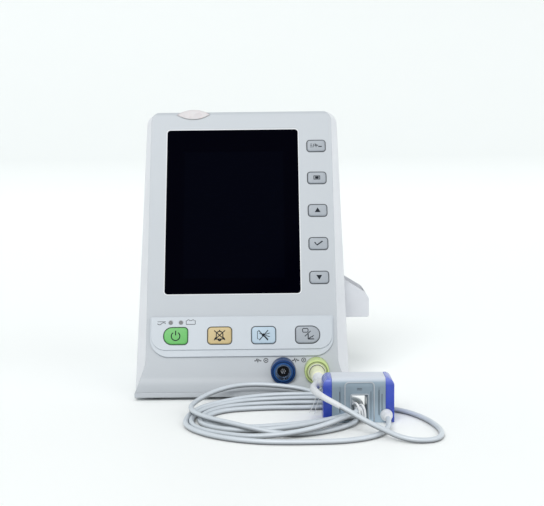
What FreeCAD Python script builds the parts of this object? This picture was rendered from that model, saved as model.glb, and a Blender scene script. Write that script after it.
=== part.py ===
"""Portable bedside monitor for oxygen and carbon dioxide, with its breathing-gas sensor on a coiled lead.

Units are millimetres. +Z is up, -Y is the front, and the origin is on the table under the
middle of the housing. Pieces on the sloping face are drawn flat, as (u, v, t) = across,
up the face, out of the face, and are then tipped back by lean().
"""
import FreeCAD, Part
import math
import os

from FreeCAD import Vector

os.makedirs("parts", exist_ok=True)

# Driving dimensions of the housing
LEAN_DEG = 22.65          # the face leans back from upright
FACE_Y = -65.2            # where the plane of the face meets the table
BODY_FRONT, BODY_BACK = -72.5, 72.5
BODY_TOP = 236.5
FOOT_H = 2.5              # rubber feet
WALL = 3.0
FACE_HALF_W = 80.3        # flat of the face
SIDE_HALF_W = 86.6        # at the widest, level with the top of the face
SIDE_SPREAD = 0.0165      # the sides widen downwards by this slope
SPLAY_Y = 24.0            # depth over which the side bands splay, and the parting line
FACE_CORNER_R, SIDE_CORNER_R = 9.0, 13.0
LIP_H = 7.0               # top of the foot lip
COVE_R = 15.0
FOOT_HALF_W = 87.6
GAP = 0.15                # assembly clearance round a fixed insert
ROOT = 0.5                # how far a post or boss runs into the wall it stands on
PAST = 1.0                # how far a cutting tool runs past the face it opens

# Screen
WINDOW_U, WINDOW_V, WINDOW_W, WINDOW_H, WINDOW_T = -7.7, 163.65, 116.0, 150.4, 1.4
GASKET_T = 0.3
LCD_U, LCD_V, LCD_W, LCD_H, LCD_T = -6.6, 162.5, 98.0, 127.0, 5.6
LCD_OPEN_W, LCD_OPEN_H = 90.0, 119.0
BRACKET_T = 1.2
SPACER_H = 6.2
BOARD_T = 1.6

# Keys
KEY_TRAVEL = 1.0
KEY_GAP = 0.3
FLANGE_T, FLANGE_RIM = 1.2, 1.2
SWITCH_H = 1.6
SIDE_KEY_U, SIDE_KEY_V, SIDE_KEY_PITCH = 66.3, 102.0, 30.15
SIDE_KEY_W, SIDE_KEY_H, SIDE_KEY_R, SIDE_KEY_PROUD = 15.8, 10.4, 2.4, 1.2
FRONT_KEY_V, FRONT_KEY_PITCH = 52.0, 36.85
FRONT_KEY_W, FRONT_KEY_H, FRONT_KEY_R, FRONT_KEY_PROUD = 19.8, 14.2, 3.0, 1.1
PANEL_V0, PANEL_V1, PANEL_HALF_W, PANEL_T = 34.5, 68.7, 77.0, 2.2
PANEL_STEP_V, PANEL_STEP_DROP = 40.2, 0.8      # the panel's lower rim sits lower than its face
STEM_R, STEM_L, SIDE_STEM_R, SIDE_STEM_L = 3.0, 3.0, 2.5, 2.2
DISH_R, DISH_DEPTH = 60.0, 0.35
DOME_R = 3.2
LED_V, LED_R = 63.5, 1.45
LED_US = (-59.6, -51.0)

# Sockets, whose axes run along Y
SOCKET_Z, SOCKET_FRONT = 20.6, -63.6
SOCKET_XS = {"oxygen": 34.4, "gas": 62.3}
COLLAR_R, SHELL_R, CORE_R = 10.2, 6.35, 5.6      # CORE_R is the socket's open mouth
CORE_STEP = 0.7                                  # the core's seat is this much smaller
CORE_FRONT, CORE_BACK = -58.5, -44.0
SHELL_PROUD, SHELL_BACK = 0.4, -46.0
GROOVE_IN_R, GROOVE_OUT_R, GROOVE_DEPTH, COLLAR_CHAMFER = 7.6, 8.7, 0.8, 0.7
CONTACT_R, CONTACT_RING_R, CONTACT_DEPTH = 0.45, 2.6, 5.0
SOCKET_CUT_BACK = -40.0

# Alarm lamp, an eye-shaped lens over the top edge
LAMP_U, LAMP_V, LAMP_HALF_W, LAMP_RISE, LAMP_DEPTH = -42.7, 254.0, 14.8, 4.7, 20.0

# Case screws run square to the face: (u, v)
CASE_SCREWS = ((-70.0, 246.0), (70.0, 246.0), (-70.0, 30.0), (10.0, 30.0))
POST_R, TUNNEL_R, SCREW_R, SCREW_HEAD_R = 4.0, 3.2, 1.5, 2.75
INSERT_R, INSERT_L, PILOT_L = 2.1, 6.0, 11.0
HEAD_SEAT = 4.0           # wall left under a case screw's head
SCREW_HEAD_T = 2.4
BOARD_POST_R, BRACKET_POST_R, SPACER_R, BOARD_SCREW_HEAD_R = 2.5, 3.4, 3.0, 2.7

# Base
FEET_X, FEET_Y, FEET_R = 70.0, 58.0, 7.0
BASE_BOLT_X, BASE_BOLT_Y, BASE_BOLT_R, BASE_MID_Y = 75.0, 50.0, 2.0, 5.0
BASE_INSERT_R, BASE_INSERT_L, BASE_BOLT_L, BASE_BOSS_R, BASE_BOSS_H = 2.8, 8.0, 7.0, 4.6, 9.0
FEET_SEAT, FEET_TOUCH_H = 1.0, 1.0

# Back of the housing
DOOR_X0, DOOR_X1, DOOR_Z0, DOOR_Z1, DOOR_T = -64.0, -8.0, 14.0, 56.0, 2.6
DOOR_GAP = 0.35
BAY_FRONT, BAY_WALL = BODY_BACK - 44.5, 2.0
HINGE_X, HINGE_Y, HINGE_R, HINGE_PIN_R = DOOR_X0 - 4.0, BODY_BACK + 2.8, 2.4, 1.0
HINGE_RISE, KNUCKLES, KNUCKLE_PITCH, KNUCKLE_GAP = 3.0, 5, 7.2, 0.3
PIN_GAP = 0.05
INLET_X, INLET_Z = 38.0, 34.0
INLET_W, INLET_H, INLET_DEPTH = 27.0, 20.0, 24.0
INLET_SCREW_X, INLET_SCREW_R, INLET_FLANGE_T = 20.0, 1.6, 2.5
EARTH_X, EARTH_Z, EARTH_R, EARTH_OUT = 70.0, 26.0, 3.0, 14.0
PORT_X, PORT_Z, PORT_W, PORT_H, PORT_DEPTH = 40.0, 68.0, 16.0, 13.6, 20.0
SPEAKER_X, SPEAKER_Z, SPEAKER_R, SPEAKER_T = -30.0, 150.0, 20.0, 14.0

# Holder on the right side
POWER_BOARD_Z, POWER_POST_R = 12.0, 3.0
HOLDER_Y0, HOLDER_Y1, HOLDER_X, HOLDER_Z0, HOLDER_WALL = 8.0, 48.0, 112.0, 53.5, 2.2
HOLDER_SEAT = 4.6         # thickness of the holder where its screws pass
HOLDER_SCREW_R, HOLDER_SCREW_Z, HOLDER_BOSS_R = 1.5, 66.0, 3.5

# Sensor
SENSOR_X0, SENSOR_X1, SENSOR_FRONT, SENSOR_BACK, SENSOR_H = 63.2, 116.5, -142.0, -118.0, 34.0
CAP_W = 6.6
SLOT_X, SLOT_W, SLOT_H = 90.4, 12.0, 21.0
SIGHT_R, SIGHT_T, SIGHT_Z = 3.0, 1.2, 14.0      # the two optical windows in the slot
ARCH_HALF_W, ARCH_H, ARCH_T = 10.9, 31.0, 0.8
RELIEF_X, RELIEF_Z, RELIEF_LEN, RELIEF_R, RELIEF_ROOT = 110.5, 6.0, 10.0, 4.6, 3.0

# Lead
LEAD_R = 2.0
PLUG_R, PLUG_END_R, PLUG_SKIRT = 6.6, 5.2, 5.0
BOOT_R, BOOT_TIP_R = 4.6, 3.1
PLUG_END = -84.0
BOOT_END = -97.0
NOSE_GAP = 0.05
COIL_H, COIL_SLOT_H = 8.0, 15.0
WAIST = (85.2, 95.6, -149.0, -113.0)            # where the turns rise through the slot: x0, x1, y0, y1
TIE_GAP, TIE_T, TIE_W = 0.1, 0.7, 3.0
FRONT_TIE_Y, BACK_TIE_X, BACK_TIE_Y0, BACK_TIE_Y1 = -146.0, 50.0, -104.2, -84.8
# from the plug's boot, round the right side of the sensor and back into the coil
LEAD_ROUTE = (
    (62.3, -97, 20.6), (59.0, -115, 22.5), (55.5, -135, 24.5), (61.0, -154, 24.0),
    (74.0, -162, 18.8), (85.0, -168.5, 13.6), (95.5, -176, 9.2), (105.5, -184, 6.2),
    (115.0, -191.0, 3.4), (126.0, -195.0, 2.2), (139.5, -193.0, 2.0), (146.5, -180.0, 2.0),
    (146.5, -162.0, 2.0), (141.0, -141.0, 2.0), (131.0, -122.0, 2.0), (119.0, -111.5, 2.0),
    (104.5, -108.0, 2.0), (91.0, -104.5, 2.2), (79.0, -100.5, 2.8))
# from the sensor's strain relief into the outer turn of the coil
TAIL_ROUTE = (
    (110.5, -152, 6.0), (110.5, -161, 4.8), (107.5, -171, 2.9), (100.0, -181.0, 2.1),
    (89.0, -188.5, 2.0), (76.0, -193.0, 2.0), (62.0, -194.5, 2.0))
COIL_OUTER = (
    (95.6, -110, 10), (74, -86, 18), (0, -83.5, 30), (-41, -108, 26), (-43, -158, 26),
    (-14, -191, 30), (30, -198.5, 30), (68, -198, 22), (90, -176, 22), (95.6, -150, 12))
COIL_INNER = (
    (85.2, -112, 6), (85.2, -146, 5), (60, -153.5, 20), (20, -159, 20), (-12, -157.5, 14),
    (-25, -140, 14), (-20, -118, 14), (2, -105, 20), (60, -103.5, 20))

SIN = math.sin(math.radians(LEAN_DEG))
COS = math.cos(math.radians(LEAN_DEG))
TAN = SIN / COS
PART_T = -SPLAY_Y * COS   # the parting line, measured square to the face


# ---- small tools -------------------------------------------------------------

def box(x0, x1, y0, y1, z0, z1):
    return Part.makeBox(x1 - x0, y1 - y0, z1 - z0, Vector(x0, y0, z0))


def rod(radius, start, end):
    start, end = Vector(*start), Vector(*end)
    return Part.makeCylinder(radius, (end - start).Length, start, end - start)


def cone(radius_a, radius_b, start, end):
    start, end = Vector(*start), Vector(*end)
    return Part.makeCone(radius_a, radius_b, (end - start).Length, start, end - start)


def fuse(first, *others):
    return first.fuse(list(others)).removeSplitter() if others else first


def cut(solid, *tools):
    return solid.cut(list(tools))


def common(first, second):
    return first.common(second)


def lean(shape):
    """Tips a shape drawn flat as (u, v, t) back onto the sloping face."""
    tipped = shape.copy()
    turn = FreeCAD.Rotation(Vector(1, 0, 0), 90 - LEAN_DEG)
    tipped.Placement = FreeCAD.Placement(Vector(0, FACE_Y, 0), turn).multiply(tipped.Placement)
    return tipped


def rounded_wire(corners):
    """A closed wire through 3-D corners, each (point, radius), with tangent arcs at the corners."""
    edges, ends = [], []
    count = len(corners)
    for i, (point, radius) in enumerate(corners):
        before = (corners[i - 1][0] - point).normalize()
        after = (corners[(i + 1) % count][0] - point).normalize()
        if radius <= 0:
            ends.append((point, point, None))
            continue
        half = before.getAngle(after) / 2
        reach = radius / math.tan(half)
        middle = (before + after).normalize()
        inner = point + middle * (radius / math.sin(half) - radius)
        ends.append((point + before * reach, point + after * reach, inner))
    for i, (start, end, inner) in enumerate(ends):
        if inner is not None:
            edges.append(Part.Arc(start, inner, end).toShape())
        following = ends[(i + 1) % count][0]
        if (following - end).Length > 1e-6:
            edges.append(Part.LineSegment(end, following).toShape())
    return Part.Wire(edges)


def flat_outline(corners, place):
    """Corners (a, b, radius) turned into a wire by place(a, b)."""
    return rounded_wire([(place(a, b), radius) for a, b, radius in corners])


def prism(wire, direction):
    return Part.Face(wire).extrude(direction)


def face_plate(u0, u1, v0, v1, t0, t1, radius=0.0):
    """A rounded plate parallel to the face, from t0 to t1."""
    corners = ((u0, v0, radius), (u1, v0, radius), (u1, v1, radius), (u0, v1, radius))
    return prism(flat_outline(corners, lambda u, v: Vector(u, v, t0)), Vector(0, 0, t1 - t0))


def centred_plate(u, v, width, height, t0, t1, radius=0.0):
    return face_plate(u - width / 2, u + width / 2, v - height / 2, v + height / 2, t0, t1, radius)


def stud(u, v, radius, t0, t1):
    low, high = min(t0, t1), max(t0, t1)
    return Part.makeCylinder(radius, high - low, Vector(u, v, low))


def save(name, shape):
    solids = shape.Solids
    result = solids[0] if len(solids) == 1 else Part.makeCompound(solids)
    result.exportStep("parts/" + name + ".step")
    print(name, "solids", len(solids), "volume", round(result.Volume, 1), "valid", result.isValid())


# ---- housing -----------------------------------------------------------------

def side_profile(inset):
    """The housing seen from the side, as a slab wider than the housing."""
    bottom, back, top = FOOT_H + inset, BODY_BACK - inset, BODY_TOP - inset

    def face_y(z):
        return FACE_Y + inset / COS + z * TAN

    if inset == 0:
        front = [(BODY_FRONT, bottom, 1.2), (BODY_FRONT, LIP_H, 1.0), (face_y(LIP_H), LIP_H, COVE_R)]
    else:
        front = [(face_y(bottom), bottom, 0)]
    corners = front + [(face_y(top), top, 6.0 - inset), (back, top, 14.0 - inset), (back, bottom, 4.0 - inset)]
    wire = flat_outline(corners, lambda y, z: Vector(-120, y, z))
    return prism(wire, Vector(240, 0, 0))


def front_outline(half_top, spread, top_v, radius, shift):
    """A section parallel to the face, moved back along Y by shift."""
    def place(u, v):
        return Vector(u, FACE_Y + v * SIN + shift, v * COS)

    low_v = -60.0
    half_low = half_top + spread * (top_v - low_v)
    corners = ((-half_low, low_v, 0), (half_low, low_v, 0), (half_top, top_v, radius), (-half_top, top_v, radius))
    return flat_outline(corners, place)


def splayed_block(inset):
    """The housing seen from the front: a flat face, splayed side bands and straight sides."""
    top_v = (BODY_TOP + 0.4 - inset) / COS
    front = front_outline(FACE_HALF_W - inset, 0.0, top_v, FACE_CORNER_R - inset, 0.0)
    widest = front_outline(SIDE_HALF_W - inset, SIDE_SPREAD, top_v, SIDE_CORNER_R - inset, SPLAY_Y)
    band = Part.makeLoft([front, widest], True, True)
    return fuse(band, prism(widest, Vector(0, 160, 0)))


def foot_block():
    """The front foot seen from the front, spreading to the table in two coves."""
    half, face = FOOT_HALF_W, FACE_HALF_W
    corners = ((-half, FOOT_H, 0), (half, FOOT_H, 0), (half, LIP_H - 1, 2), (face, 27.0, 24),
               (face, 40.0, 0), (-face, 40.0, 0), (-face, 27.0, 24), (-half, LIP_H - 1, 2))
    wire = flat_outline(corners, lambda x, z: Vector(x, BODY_FRONT - 1, z))
    return prism(wire, Vector(0, 60, 0))


def housing(inset):
    block = splayed_block(inset)
    if inset == 0:
        block = block.fuse(foot_block())
    return common(side_profile(inset), block)


def halves():
    """Front and rear shells, parted on a plane parallel to the face."""
    outer = housing(0)
    shell = cut(outer, housing(WALL))
    front_space = lean(Part.makeBox(400, 500, 200, Vector(-200, -120, PART_T)))
    return outer, common(shell, front_space), cut(shell, front_space)


# ---- front bezel -------------------------------------------------------------

def side_key_centres():
    return [(SIDE_KEY_U, SIDE_KEY_V + i * SIDE_KEY_PITCH) for i in range(5)]


def front_key_centres():
    return [((i - 1.5) * FRONT_KEY_PITCH, FRONT_KEY_V) for i in range(4)]


def key_outline(u, v, width, height, radius, t0, t1, grow=0.0, round_end=0):
    """A key's rounded shape; round_end -1 or +1 makes its left or right end a half circle."""
    u0, u1 = u - width / 2 - grow, u + width / 2 + grow
    v0, v1 = v - height / 2 - grow, v + height / 2 + grow
    big = (height / 2 + grow) * 0.96
    left = big if round_end < 0 else radius + grow
    right = big if round_end > 0 else radius + grow
    corners = ((u0, v0, left), (u1, v0, right), (u1, v1, right), (u0, v1, left))
    return prism(flat_outline(corners, lambda a, b: Vector(a, b, t0)), Vector(0, 0, t1 - t0))


def round_ends():
    return (-1, 0, 0, 1)


def lamp_lens(grow):
    """An eye-shaped bar along Y: two arcs through the tips, above and below."""
    tips = LAMP_HALF_W + grow
    rise = LAMP_RISE + grow

    def place(u, v):
        return Vector(u, FACE_Y + v * SIN, v * COS)

    left, right = place(LAMP_U - tips, LAMP_V), place(LAMP_U + tips, LAMP_V)
    upper, lower = place(LAMP_U, LAMP_V + rise), place(LAMP_U, LAMP_V - rise)
    wire = Part.Wire([Part.Arc(left, upper, right).toShape(), Part.Arc(right, lower, left).toShape()])
    forward = 0.5 + grow
    bar = prism(wire, Vector(0, LAMP_DEPTH + forward + grow, 0))
    bar.translate(Vector(0, -forward, 0))
    return bar


SIDE_BOARD_T = -WALL - KEY_GAP - FLANGE_T - SIDE_STEM_L - KEY_TRAVEL - KEY_GAP - SWITCH_H
FRONT_BOARD_T = -KEY_GAP - FLANGE_T - STEM_L - KEY_TRAVEL - KEY_GAP - SWITCH_H
SIDE_BOARD_POSTS = tuple((SIDE_KEY_U, SIDE_KEY_V + (i + 0.5) * SIDE_KEY_PITCH) for i in (0, 1, 3))
FRONT_BOARD_POSTS = ((-37.0, 57.0), (0.0, 57.0), (37.0, 57.0))
BRACKET_POSTS = ((-60.5, 110.0), (-60.5, 215.0), (47.2, 110.0), (47.2, 215.0))
LCD_BACK = -WALL - LCD_T
LAMP_POST = (LAMP_U, 240.0)
LAMP_BOARD_T = -8.0


def front_bezel(shell):
    top = -WALL + ROOT
    adds = [stud(u, v, POST_R, PART_T, top) for u, v in CASE_SCREWS]
    adds += [stud(u, v, BOARD_POST_R, SIDE_BOARD_T, top) for u, v in SIDE_BOARD_POSTS]
    adds += [stud(u, v, BOARD_POST_R, FRONT_BOARD_T, top) for u, v in FRONT_BOARD_POSTS]
    adds += [stud(u, v, BRACKET_POST_R, LCD_BACK, top) for u, v in BRACKET_POSTS]
    adds.append(stud(*LAMP_POST, BOARD_POST_R, LAMP_BOARD_T, top))
    solid = shell.fuse([lean(a) for a in adds])
    pocket = WINDOW_T + GASKET_T
    cuts = [centred_plate(WINDOW_U, WINDOW_V, WINDOW_W + 2 * GAP, WINDOW_H + 2 * GAP, -pocket, 5, 3.0),
            centred_plate(LCD_U, LCD_V, LCD_OPEN_W, LCD_OPEN_H, -WALL - 1, 1)]
    for u, v in side_key_centres():
        cuts.append(key_outline(u, v, SIDE_KEY_W, SIDE_KEY_H, SIDE_KEY_R, -WALL - 1, 5, KEY_GAP))
    for (u, v), end in zip(front_key_centres(), round_ends()):
        grow = FLANGE_RIM + KEY_GAP
        cuts.append(key_outline(u, v, FRONT_KEY_W, FRONT_KEY_H, FRONT_KEY_R, -WALL - 1, 5, grow, end))
    for u in LED_US:
        cuts.append(stud(u, LED_V, LED_R + GAP, -WALL - 1, 5))
    for u, v in CASE_SCREWS:
        cuts.append(stud(u, v, INSERT_R, PART_T - PAST, PART_T + INSERT_L))
        cuts.append(stud(u, v, SCREW_R + 0.1, PART_T, PART_T + PILOT_L))
    tools = [lean(c) for c in cuts] + [lamp_lens(GAP)]
    for x in SOCKET_XS.values():
        tools.append(rod(COLLAR_R + 0.1, (x, SOCKET_FRONT - 8, SOCKET_Z), (x, SOCKET_CUT_BACK, SOCKET_Z)))
    tools += foot_recesses(-1)
    return solid.cut(tools)


def key_panel():
    half, step_v = PANEL_HALF_W, PANEL_STEP_V
    lower = ((-half, PANEL_V0, 16), (half, PANEL_V0, 16), (half, PANEL_V1, 1.5), (-half, PANEL_V1, 1.5))
    upper = ((-half + 1, step_v, 12), (half - 1, step_v, 12), (half - 1, PANEL_V1 - 0.6, 1), (-half + 1, PANEL_V1 - 0.6, 1))
    base = prism(flat_outline(lower, lambda u, v: Vector(u, v, 0)), Vector(0, 0, PANEL_T - PANEL_STEP_DROP))
    top = prism(flat_outline(upper, lambda u, v: Vector(u, v, 0)), Vector(0, 0, PANEL_T))
    solid = fuse(base, top)
    holes = [key_outline(u, v, FRONT_KEY_W, FRONT_KEY_H, FRONT_KEY_R, -1, 5, KEY_GAP, end)
             for (u, v), end in zip(front_key_centres(), round_ends())]
    holes += [stud(u, LED_V, LED_R + 0.05, -1, 5) for u in LED_US]
    return lean(cut(solid, *holes))


def front_key(index):
    (u, v), end = front_key_centres()[index], round_ends()[index]
    top, flange_top = PANEL_T + FRONT_KEY_PROUD, -KEY_GAP
    cap = key_outline(u, v, FRONT_KEY_W, FRONT_KEY_H, FRONT_KEY_R, flange_top - FLANGE_T, top, 0, end)
    rim = key_outline(u, v, FRONT_KEY_W, FRONT_KEY_H, FRONT_KEY_R, flange_top - FLANGE_T, flange_top, FLANGE_RIM, end)
    stem = stud(u, v, STEM_R, flange_top - FLANGE_T - STEM_L, flange_top - FLANGE_T + ROOT)
    dish = Part.makeSphere(DISH_R, Vector(u, v, top + DISH_R - DISH_DEPTH))
    return lean(fuse(cap, rim, stem).cut(dish))


def side_key(index):
    u, v = side_key_centres()[index]
    flange_top = -WALL - KEY_GAP
    cap = key_outline(u, v, SIDE_KEY_W, SIDE_KEY_H, SIDE_KEY_R, flange_top - FLANGE_T, SIDE_KEY_PROUD)
    rim = key_outline(u, v, SIDE_KEY_W, SIDE_KEY_H, SIDE_KEY_R, flange_top - FLANGE_T, flange_top, FLANGE_RIM)
    stem = stud(u, v, SIDE_STEM_R, flange_top - FLANGE_T - SIDE_STEM_L, flange_top - FLANGE_T + ROOT)
    return lean(fuse(cap, rim, stem))


def side_key_board():
    board = face_plate(54.5, 76.5, 92, 232, SIDE_BOARD_T - BOARD_T, SIDE_BOARD_T, 1.5)
    domes = [stud(u, v, DOME_R, SIDE_BOARD_T, SIDE_BOARD_T + SWITCH_H) for u, v in side_key_centres()]
    chip = face_plate(58, 74, 196, 204, SIDE_BOARD_T, SIDE_BOARD_T + 1.4)
    return lean(fuse(board, *domes, chip))


def front_key_board():
    back = FRONT_BOARD_T - BOARD_T
    board = face_plate(-74, 72, 38.5, 68.0, back, FRONT_BOARD_T, 1.5)
    board = board.cut([stud(u, v, POST_R + 0.6, back - 1, FRONT_BOARD_T + 1) for u, v in CASE_SCREWS[2:]])
    domes = [stud(u, v, DOME_R, FRONT_BOARD_T, FRONT_BOARD_T + SWITCH_H) for u, v in front_key_centres()]
    return lean(fuse(board, *domes))


def indicator_leds():
    lights = [stud(u, LED_V, LED_R, FRONT_BOARD_T, PANEL_T + 0.2) for u in LED_US]
    return lean(Part.makeCompound(lights))


# ---- screen stack ------------------------------------------------------------

def screen_window():
    return lean(centred_plate(WINDOW_U, WINDOW_V, WINDOW_W, WINDOW_H, -WINDOW_T, 0, 2.8))


def window_gasket():
    back = -WINDOW_T - GASKET_T
    ring = centred_plate(WINDOW_U, WINDOW_V, WINDOW_W - 1, WINDOW_H - 1, back, -WINDOW_T, 2.5)
    return lean(cut(ring, centred_plate(LCD_U, LCD_V, LCD_OPEN_W + 2, LCD_OPEN_H + 2, back - 1, 0)))


def lcd_module():
    body = centred_plate(LCD_U, LCD_V, LCD_W, LCD_H, LCD_BACK, -WALL, 1.0)
    glass = centred_plate(LCD_U, LCD_V, LCD_OPEN_W - 0.6, LCD_OPEN_H - 0.6, -WALL - 0.2, -WINDOW_T - GASKET_T)
    return lean(fuse(body, glass))


def lcd_bracket():
    back = LCD_BACK - BRACKET_T
    plate = face_plate(-64.5, 51.5, 94, 231, back, LCD_BACK, 3.0)
    windows = [face_plate(-44, -10, 118, 150, back - 1, LCD_BACK + 1, 3.0),
               face_plate(0, 32, 118, 150, back - 1, LCD_BACK + 1, 3.0),
               face_plate(-44, 32, 172, 206, back - 1, LCD_BACK + 1, 3.0)]
    spacers = [stud(u, v, SPACER_R, back - SPACER_H, back) for u, v in main_board_holes()]
    solid = fuse(cut(plate, *windows), *spacers)
    return lean(cut(solid, *[stud(u, v, SCREW_R, back - SPACER_H - 1, back) for u, v in main_board_holes()]))


def main_board_holes():
    return ((-56.0, 102.0), (44.0, 102.0), (-56.0, 223.0), (44.0, 223.0))


MAIN_BOARD_T = LCD_BACK - BRACKET_T - SPACER_H


def main_board():
    back = MAIN_BOARD_T - BOARD_T
    board = face_plate(-62, 50, 96, 229, back, MAIN_BOARD_T, 2.0)
    parts = [face_plate(-40, 0, 150, 190, back - 4.2, back, 1.0), face_plate(14, 40, 160, 182, back - 2.2, back),
             face_plate(-46, -14, 106, 116, back - 5.5, back), face_plate(10, 36, 106, 116, back - 5.5, back),
             face_plate(-50, -36, 204, 214, back - 2.6, back), face_plate(8, 22, 206, 214, back - 3.0, back)]
    holes = [stud(u, v, SCREW_R + 0.1, back - 1, MAIN_BOARD_T + 1) for u, v in main_board_holes()]
    return lean(fuse(board, *parts).cut(holes))


def board_screws():
    back = MAIN_BOARD_T - BOARD_T
    screws = []
    for u, v in main_board_holes():
        screw = fuse(stud(u, v, SCREW_R - 0.02, back - 0.5, MAIN_BOARD_T + 5.0), stud(u, v, BOARD_SCREW_HEAD_R, back - 2.0, back))
        screws.append(lean(screw))
    return Part.makeCompound(screws)


def lamp_board():
    u, v = LAMP_POST
    board = face_plate(u - 13, u + 13, v - 4, v + 8.2, LAMP_BOARD_T - BOARD_T, LAMP_BOARD_T, 1.0)
    lights = [face_plate(u + s - 1.8, u + s + 1.8, v + 4.6, v + 8.8, LAMP_BOARD_T, LAMP_BOARD_T + 2.6)
              for s in (-8.0, 0.0, 8.0)]
    return lean(fuse(board, *lights))


# ---- sockets and plug --------------------------------------------------------

def socket_rod(x, radius, front, back):
    return rod(radius, (x, front, SOCKET_Z), (x, back, SOCKET_Z))


def socket_collar(x):
    body = socket_rod(x, COLLAR_R, SOCKET_FRONT, SHELL_BACK)
    bore = socket_rod(x, SHELL_R, SOCKET_FRONT - PAST, SOCKET_CUT_BACK)
    groove = socket_rod(x, GROOVE_OUT_R, SOCKET_FRONT - PAST, SOCKET_FRONT + GROOVE_DEPTH)
    groove = groove.cut(socket_rod(x, GROOVE_IN_R, SOCKET_FRONT - 2 * PAST, SOCKET_FRONT + 2 * PAST))
    body = body.cut([bore, groove])
    rim = [e for e in body.Edges if abs(e.Length - 2 * math.pi * COLLAR_R) < 0.01 and
           abs(e.CenterOfMass.y - SOCKET_FRONT) < 0.01]
    return body.makeChamfer(COLLAR_CHAMFER, rim)


def socket_shell(x):
    """A stepped tube: an open mouth for the plug's nose, then a smaller seat for the core."""
    front = SOCKET_FRONT - SHELL_PROUD
    tube = socket_rod(x, SHELL_R, front, SHELL_BACK)
    mouth = socket_rod(x, CORE_R, front - PAST, CORE_FRONT)
    seat = socket_rod(x, CORE_R - CORE_STEP, CORE_FRONT - PAST, SHELL_BACK + PAST)
    return cut(tube, mouth, seat)


def socket_core(x):
    body = socket_rod(x, CORE_R - CORE_STEP, CORE_FRONT, CORE_BACK)
    turns = [math.radians(60 * i) for i in range(6)]
    places = [(0.0, 0.0)] + [(CONTACT_RING_R * math.cos(a), CONTACT_RING_R * math.sin(a)) for a in turns]
    return body.cut([rod(CONTACT_R, (x + dx, CORE_FRONT - PAST, SOCKET_Z + dz),
                         (x + dx, CORE_FRONT + CONTACT_DEPTH, SOCKET_Z + dz)) for dx, dz in places])


def connector_board():
    return fuse(box(17, 77, CORE_BACK, CORE_BACK + BOARD_T, 9, 31.5),
                box(24, 44, CORE_BACK + BOARD_T, CORE_BACK + 5, 14, 24))


def gas_plug():
    x = SOCKET_XS["gas"]
    front = SOCKET_FRONT - SHELL_PROUD
    nose = socket_rod(x, CORE_R - NOSE_GAP, CORE_FRONT, front)
    skirt = socket_rod(x, PLUG_R, front - PLUG_SKIRT, front)
    grip = cone(PLUG_R, PLUG_END_R, (x, front - PLUG_SKIRT, SOCKET_Z), (x, PLUG_END, SOCKET_Z))
    return fuse(nose, skirt, grip)


def plug_boot():
    x = SOCKET_XS["gas"]
    return cone(BOOT_R, BOOT_TIP_R, (x, PLUG_END, SOCKET_Z), (x, BOOT_END, SOCKET_Z))


# ---- rear case ---------------------------------------------------------------

def bay_box(grow):
    """The battery's room behind the door; grow widens it on every side but the open one."""
    return box(DOOR_X0 + 1 - grow, DOOR_X1 - 1 + grow, BAY_FRONT - grow, BODY_BACK - DOOR_T, DOOR_Z0 + 1 - grow,
               DOOR_Z1 - 1 + grow)


def foot_recesses(side):
    return [rod(FEET_R, (x, side * FEET_Y, 0), (x, side * FEET_Y, FOOT_H + FEET_SEAT)) for x in (-FEET_X, FEET_X)]


def base_bolt_centres():
    return [(sx * BASE_BOLT_X / 2, BASE_MID_Y + sy * BASE_BOLT_Y / 2) for sx in (-1, 1) for sy in (-1, 1)]


def hinge_knuckles(on_case):
    """Knuckles along the pin, by turns on the case and on the door."""
    z0, pitch, gap = DOOR_Z0 + HINGE_RISE, KNUCKLE_PITCH, KNUCKLE_GAP
    rings = []
    for i in range(KNUCKLES):
        if (i % 2 == 0) != on_case:
            continue
        low, high = z0 + i * pitch + gap / 2, z0 + (i + 1) * pitch - gap / 2
        barrel = rod(HINGE_R, (HINGE_X, HINGE_Y, low), (HINGE_X, HINGE_Y, high))
        if on_case:
            leaf = box(HINGE_X - 4.0, HINGE_X + 0.5, BODY_BACK - 1, HINGE_Y, low, high)
        else:
            leaf = box(HINGE_X, DOOR_X0 + 6, HINGE_Y - 2.3, HINGE_Y - 0.3, low, high)
            leaf = leaf.fuse(box(DOOR_X0 + DOOR_GAP, DOOR_X0 + 6, BODY_BACK - 1, HINGE_Y - 0.3, low, high))
        rings.append(barrel.fuse(leaf))
    bore = PIN_GAP if not on_case else 0.0
    hole = rod(HINGE_PIN_R + bore, (HINGE_X, HINGE_Y, z0 - 5), (HINGE_X, HINGE_Y, z0 + KNUCKLES * pitch + 5))
    return [r.cut(hole) for r in rings]


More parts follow.
